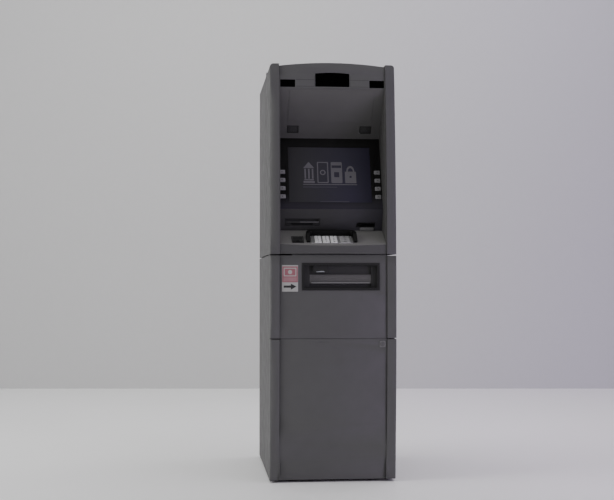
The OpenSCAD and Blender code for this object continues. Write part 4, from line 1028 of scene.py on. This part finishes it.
def add_mechanism():
    """Belts, the control board and a cable on the cash mechanism."""
    belts = Piece(Face((0, 0, 0), RIGHT, BACK))
    for x in (-57.5, 57.5):
        loop = (arc(-180, 752, 12.6, 90, 270, 12) + arc(200, 752, 12.6, -90, 90, 12))
        inner = inset(loop, 1.0)
        belts.plate(RUBBER, [loop, inner], x - 6, x + 6, 0.2)
    belts.done("transport_belts", "cabinet", "mechanism_steel")
    board = Piece(Face((-143.2, 0, 0), LEFT, FRONT))
    board.plate(BOARD, [box(-240, 520, -60, 640, 3)], 4.0, 5.6, 0.1)
    for x, v, w, h in ((-215, 600, 26, 26), (-165, 560, 18, 34), (-120, 590, 34, 16),
                       (-90, 540, 16, 22), (-200, 540, 30, 12)):
        board.plate(INK, [box(x, v, x + w, v + h, 1)], 5.6, 8.0, 0.3)
    board.studs(BRASS, [(2.4, 0.0), (2.4, 5.8), (2.0, 7.2)], (-234, -66), (526, 634))
    board.plate(WHITE, [box(-150, 616, -100, 628, 1)], 5.6, 13.0, 0.6)
    board.tube(WIRE["grey"], [(-125, 622, 12), (-125, 650, 18), (-110, 700, 14), (-60, 742, 6)],
               3.2)
    board.done("mechanism_board", "cabinet", "mechanism_steel")


def add_computer():
    """Boards, drives and a fan in the open front of the computer, and the supply's wiring."""
    low, high = MIDDLE_FACE.extents("pc_core")
    wall = 2
    inside = Piece(Face((low.x + wall, corner("pc_core").y, low.y + wall), FRONT))
    tall = high.y - low.y - 2 * wall
    fan_x, fan_z = 60, 56
    inside.plate(ZINC, [box(4, 110, 118, tall - 6, 2)], -60.0, -4.0, 0.8)
    for i in range(2):
        inside.plate(BLACK, [box(8, 116 + i * 32, 114, 142 + i * 32, 2)], -4.0, -1.0, 0.6)
        inside.plate(LAMP, [box(98, 122 + i * 32, 104, 126 + i * 32, 1)], -1.0, -0.6, 0.1)
    for i in range(5):
        x = 140 + i * 20
        inside.plate(BOARD, [box(x, 14, x + 1.8, 120, 0.4)], -150.0, -8.0, 0)
        inside.plate(ZINC, [box(x - 4, 14, x + 8, 122, 1)], -8.0, -6.8, 0.2)
        for v in (34, 60, 90):
            inside.plate(BLACK, [box(x - 1.5, v, x + 5.5, v + 18, 1)], -6.8, -4.0, 0.4)
    inside.plate(BLACK, [disc(fan_x, fan_z, 42, 48), disc(fan_x, fan_z, 37, 48)], -24.0, -6.0, 1.0)
    blades = 7
    for i in range(blades):
        blade = turned([(10, -6), (34, -12), (36, 4), (12, 6)], i * 360 / blades, fan_x, fan_z)
        inside.plate(BLACK, [blade], -18.0, -16.4, 0.3)
    inside.lathe(BLACK, [(12, -22), (12, -12), (9, -10.5)], fan_x, fan_z)
    inside.done("computer_fittings", "cabinet", "zinc_steel")
    supply = Piece(Face((0, corner("power_supply").y, 0), FRONT))
    low, high = MIDDLE_FACE.extents("power_supply")
    supply.plate(WHITE, [box(low.x + 62, low.y + 70, high.x - 8, low.y + 80, 1)], 0.0, 0.3, 0.05)
    for i, name in enumerate(("red", "black", "blue", "grey")):
        start = high.x - 12 - i * 5
        supply.tube(WIRE[name], [(start, low.y + 14, -2), (start + 4, low.y + 14, 16),
                                 (high.x + 18, low.y + 16 + i * 4, 30),
                                 (high.x + 36, low.y + 20 + i * 4, 40)], 1.6)
    supply.done("supply_wiring", "cabinet", "zinc_steel")


def add_fascia_inside():
    """Back of the display with its board, and the cables down to reader and printer."""
    low, high = BEZEL_FACE.extents("display_panel")
    tall = high.y - low.y
    back = Piece(Face(BEZEL_FACE.origin + BEZEL_FACE.n * low.z + BEZEL_FACE.v * low.y,
                      -BEZEL_FACE.n, LEFT))
    back.plate(ZINC, [box(-130, 12, 130, tall - 12, 4)], 0.0, 3.0, 0.6)
    back.plate(BOARD, [box(-80, 40, 60, 150, 2)], 8.0, 9.6, 0.1)
    for x, v, w, h in ((-60, 60, 30, 30), (-10, 90, 20, 34), (24, 60, 26, 14), (-60, 120, 40, 14)):
        back.plate(INK, [box(x, v, x + w, v + h, 1)], 9.6, 12.4, 0.3)
    back.studs(BRASS, [(2.2, 2.8), (2.2, 9.8), (1.8, 11.2)], (-74, 54), (46, 144))
    for i in range(3):
        back.tube(WIRE["grey" if i else "black"],
                  [(-40 + i * 9, 44, 10), (-44 + i * 9, 20, 20),
                   (-30 + i * 12, -16, 30), (-20 + i * 22, -48, 34)], 2.0)
    back.done("display_back", "fascia", "zinc_steel")


def add_feet():
    feet = Piece(Face((0, 0, 0), UP))
    feet.studs(RUBBER, [(15.4, 0.1), (16.6, 0.6), (16.6, 2.2), (15.0, 3.6), (10.0, 4.6)],
               (-212, 212), (-250, 310))
    feet.done("foot_pads", "cabinet", "zinc_steel")


add_camera()
add_stage()
add_light()
for material, edge, nodes in DRESS:
    for node in nodes.split():
        dress(material, node, edge)
for add in (add_crown_seams, add_canopy, add_screen, add_side_keys, add_middle_panel, add_keypad,
            add_keypad_plate, add_audio_panel, add_outlet, add_shutter, add_label, add_gasket,
            add_lock, add_top_and_back, add_safe_fittings, add_cassette_fittings, add_mechanism,
            add_computer, add_fascia_inside, add_feet):
    add()
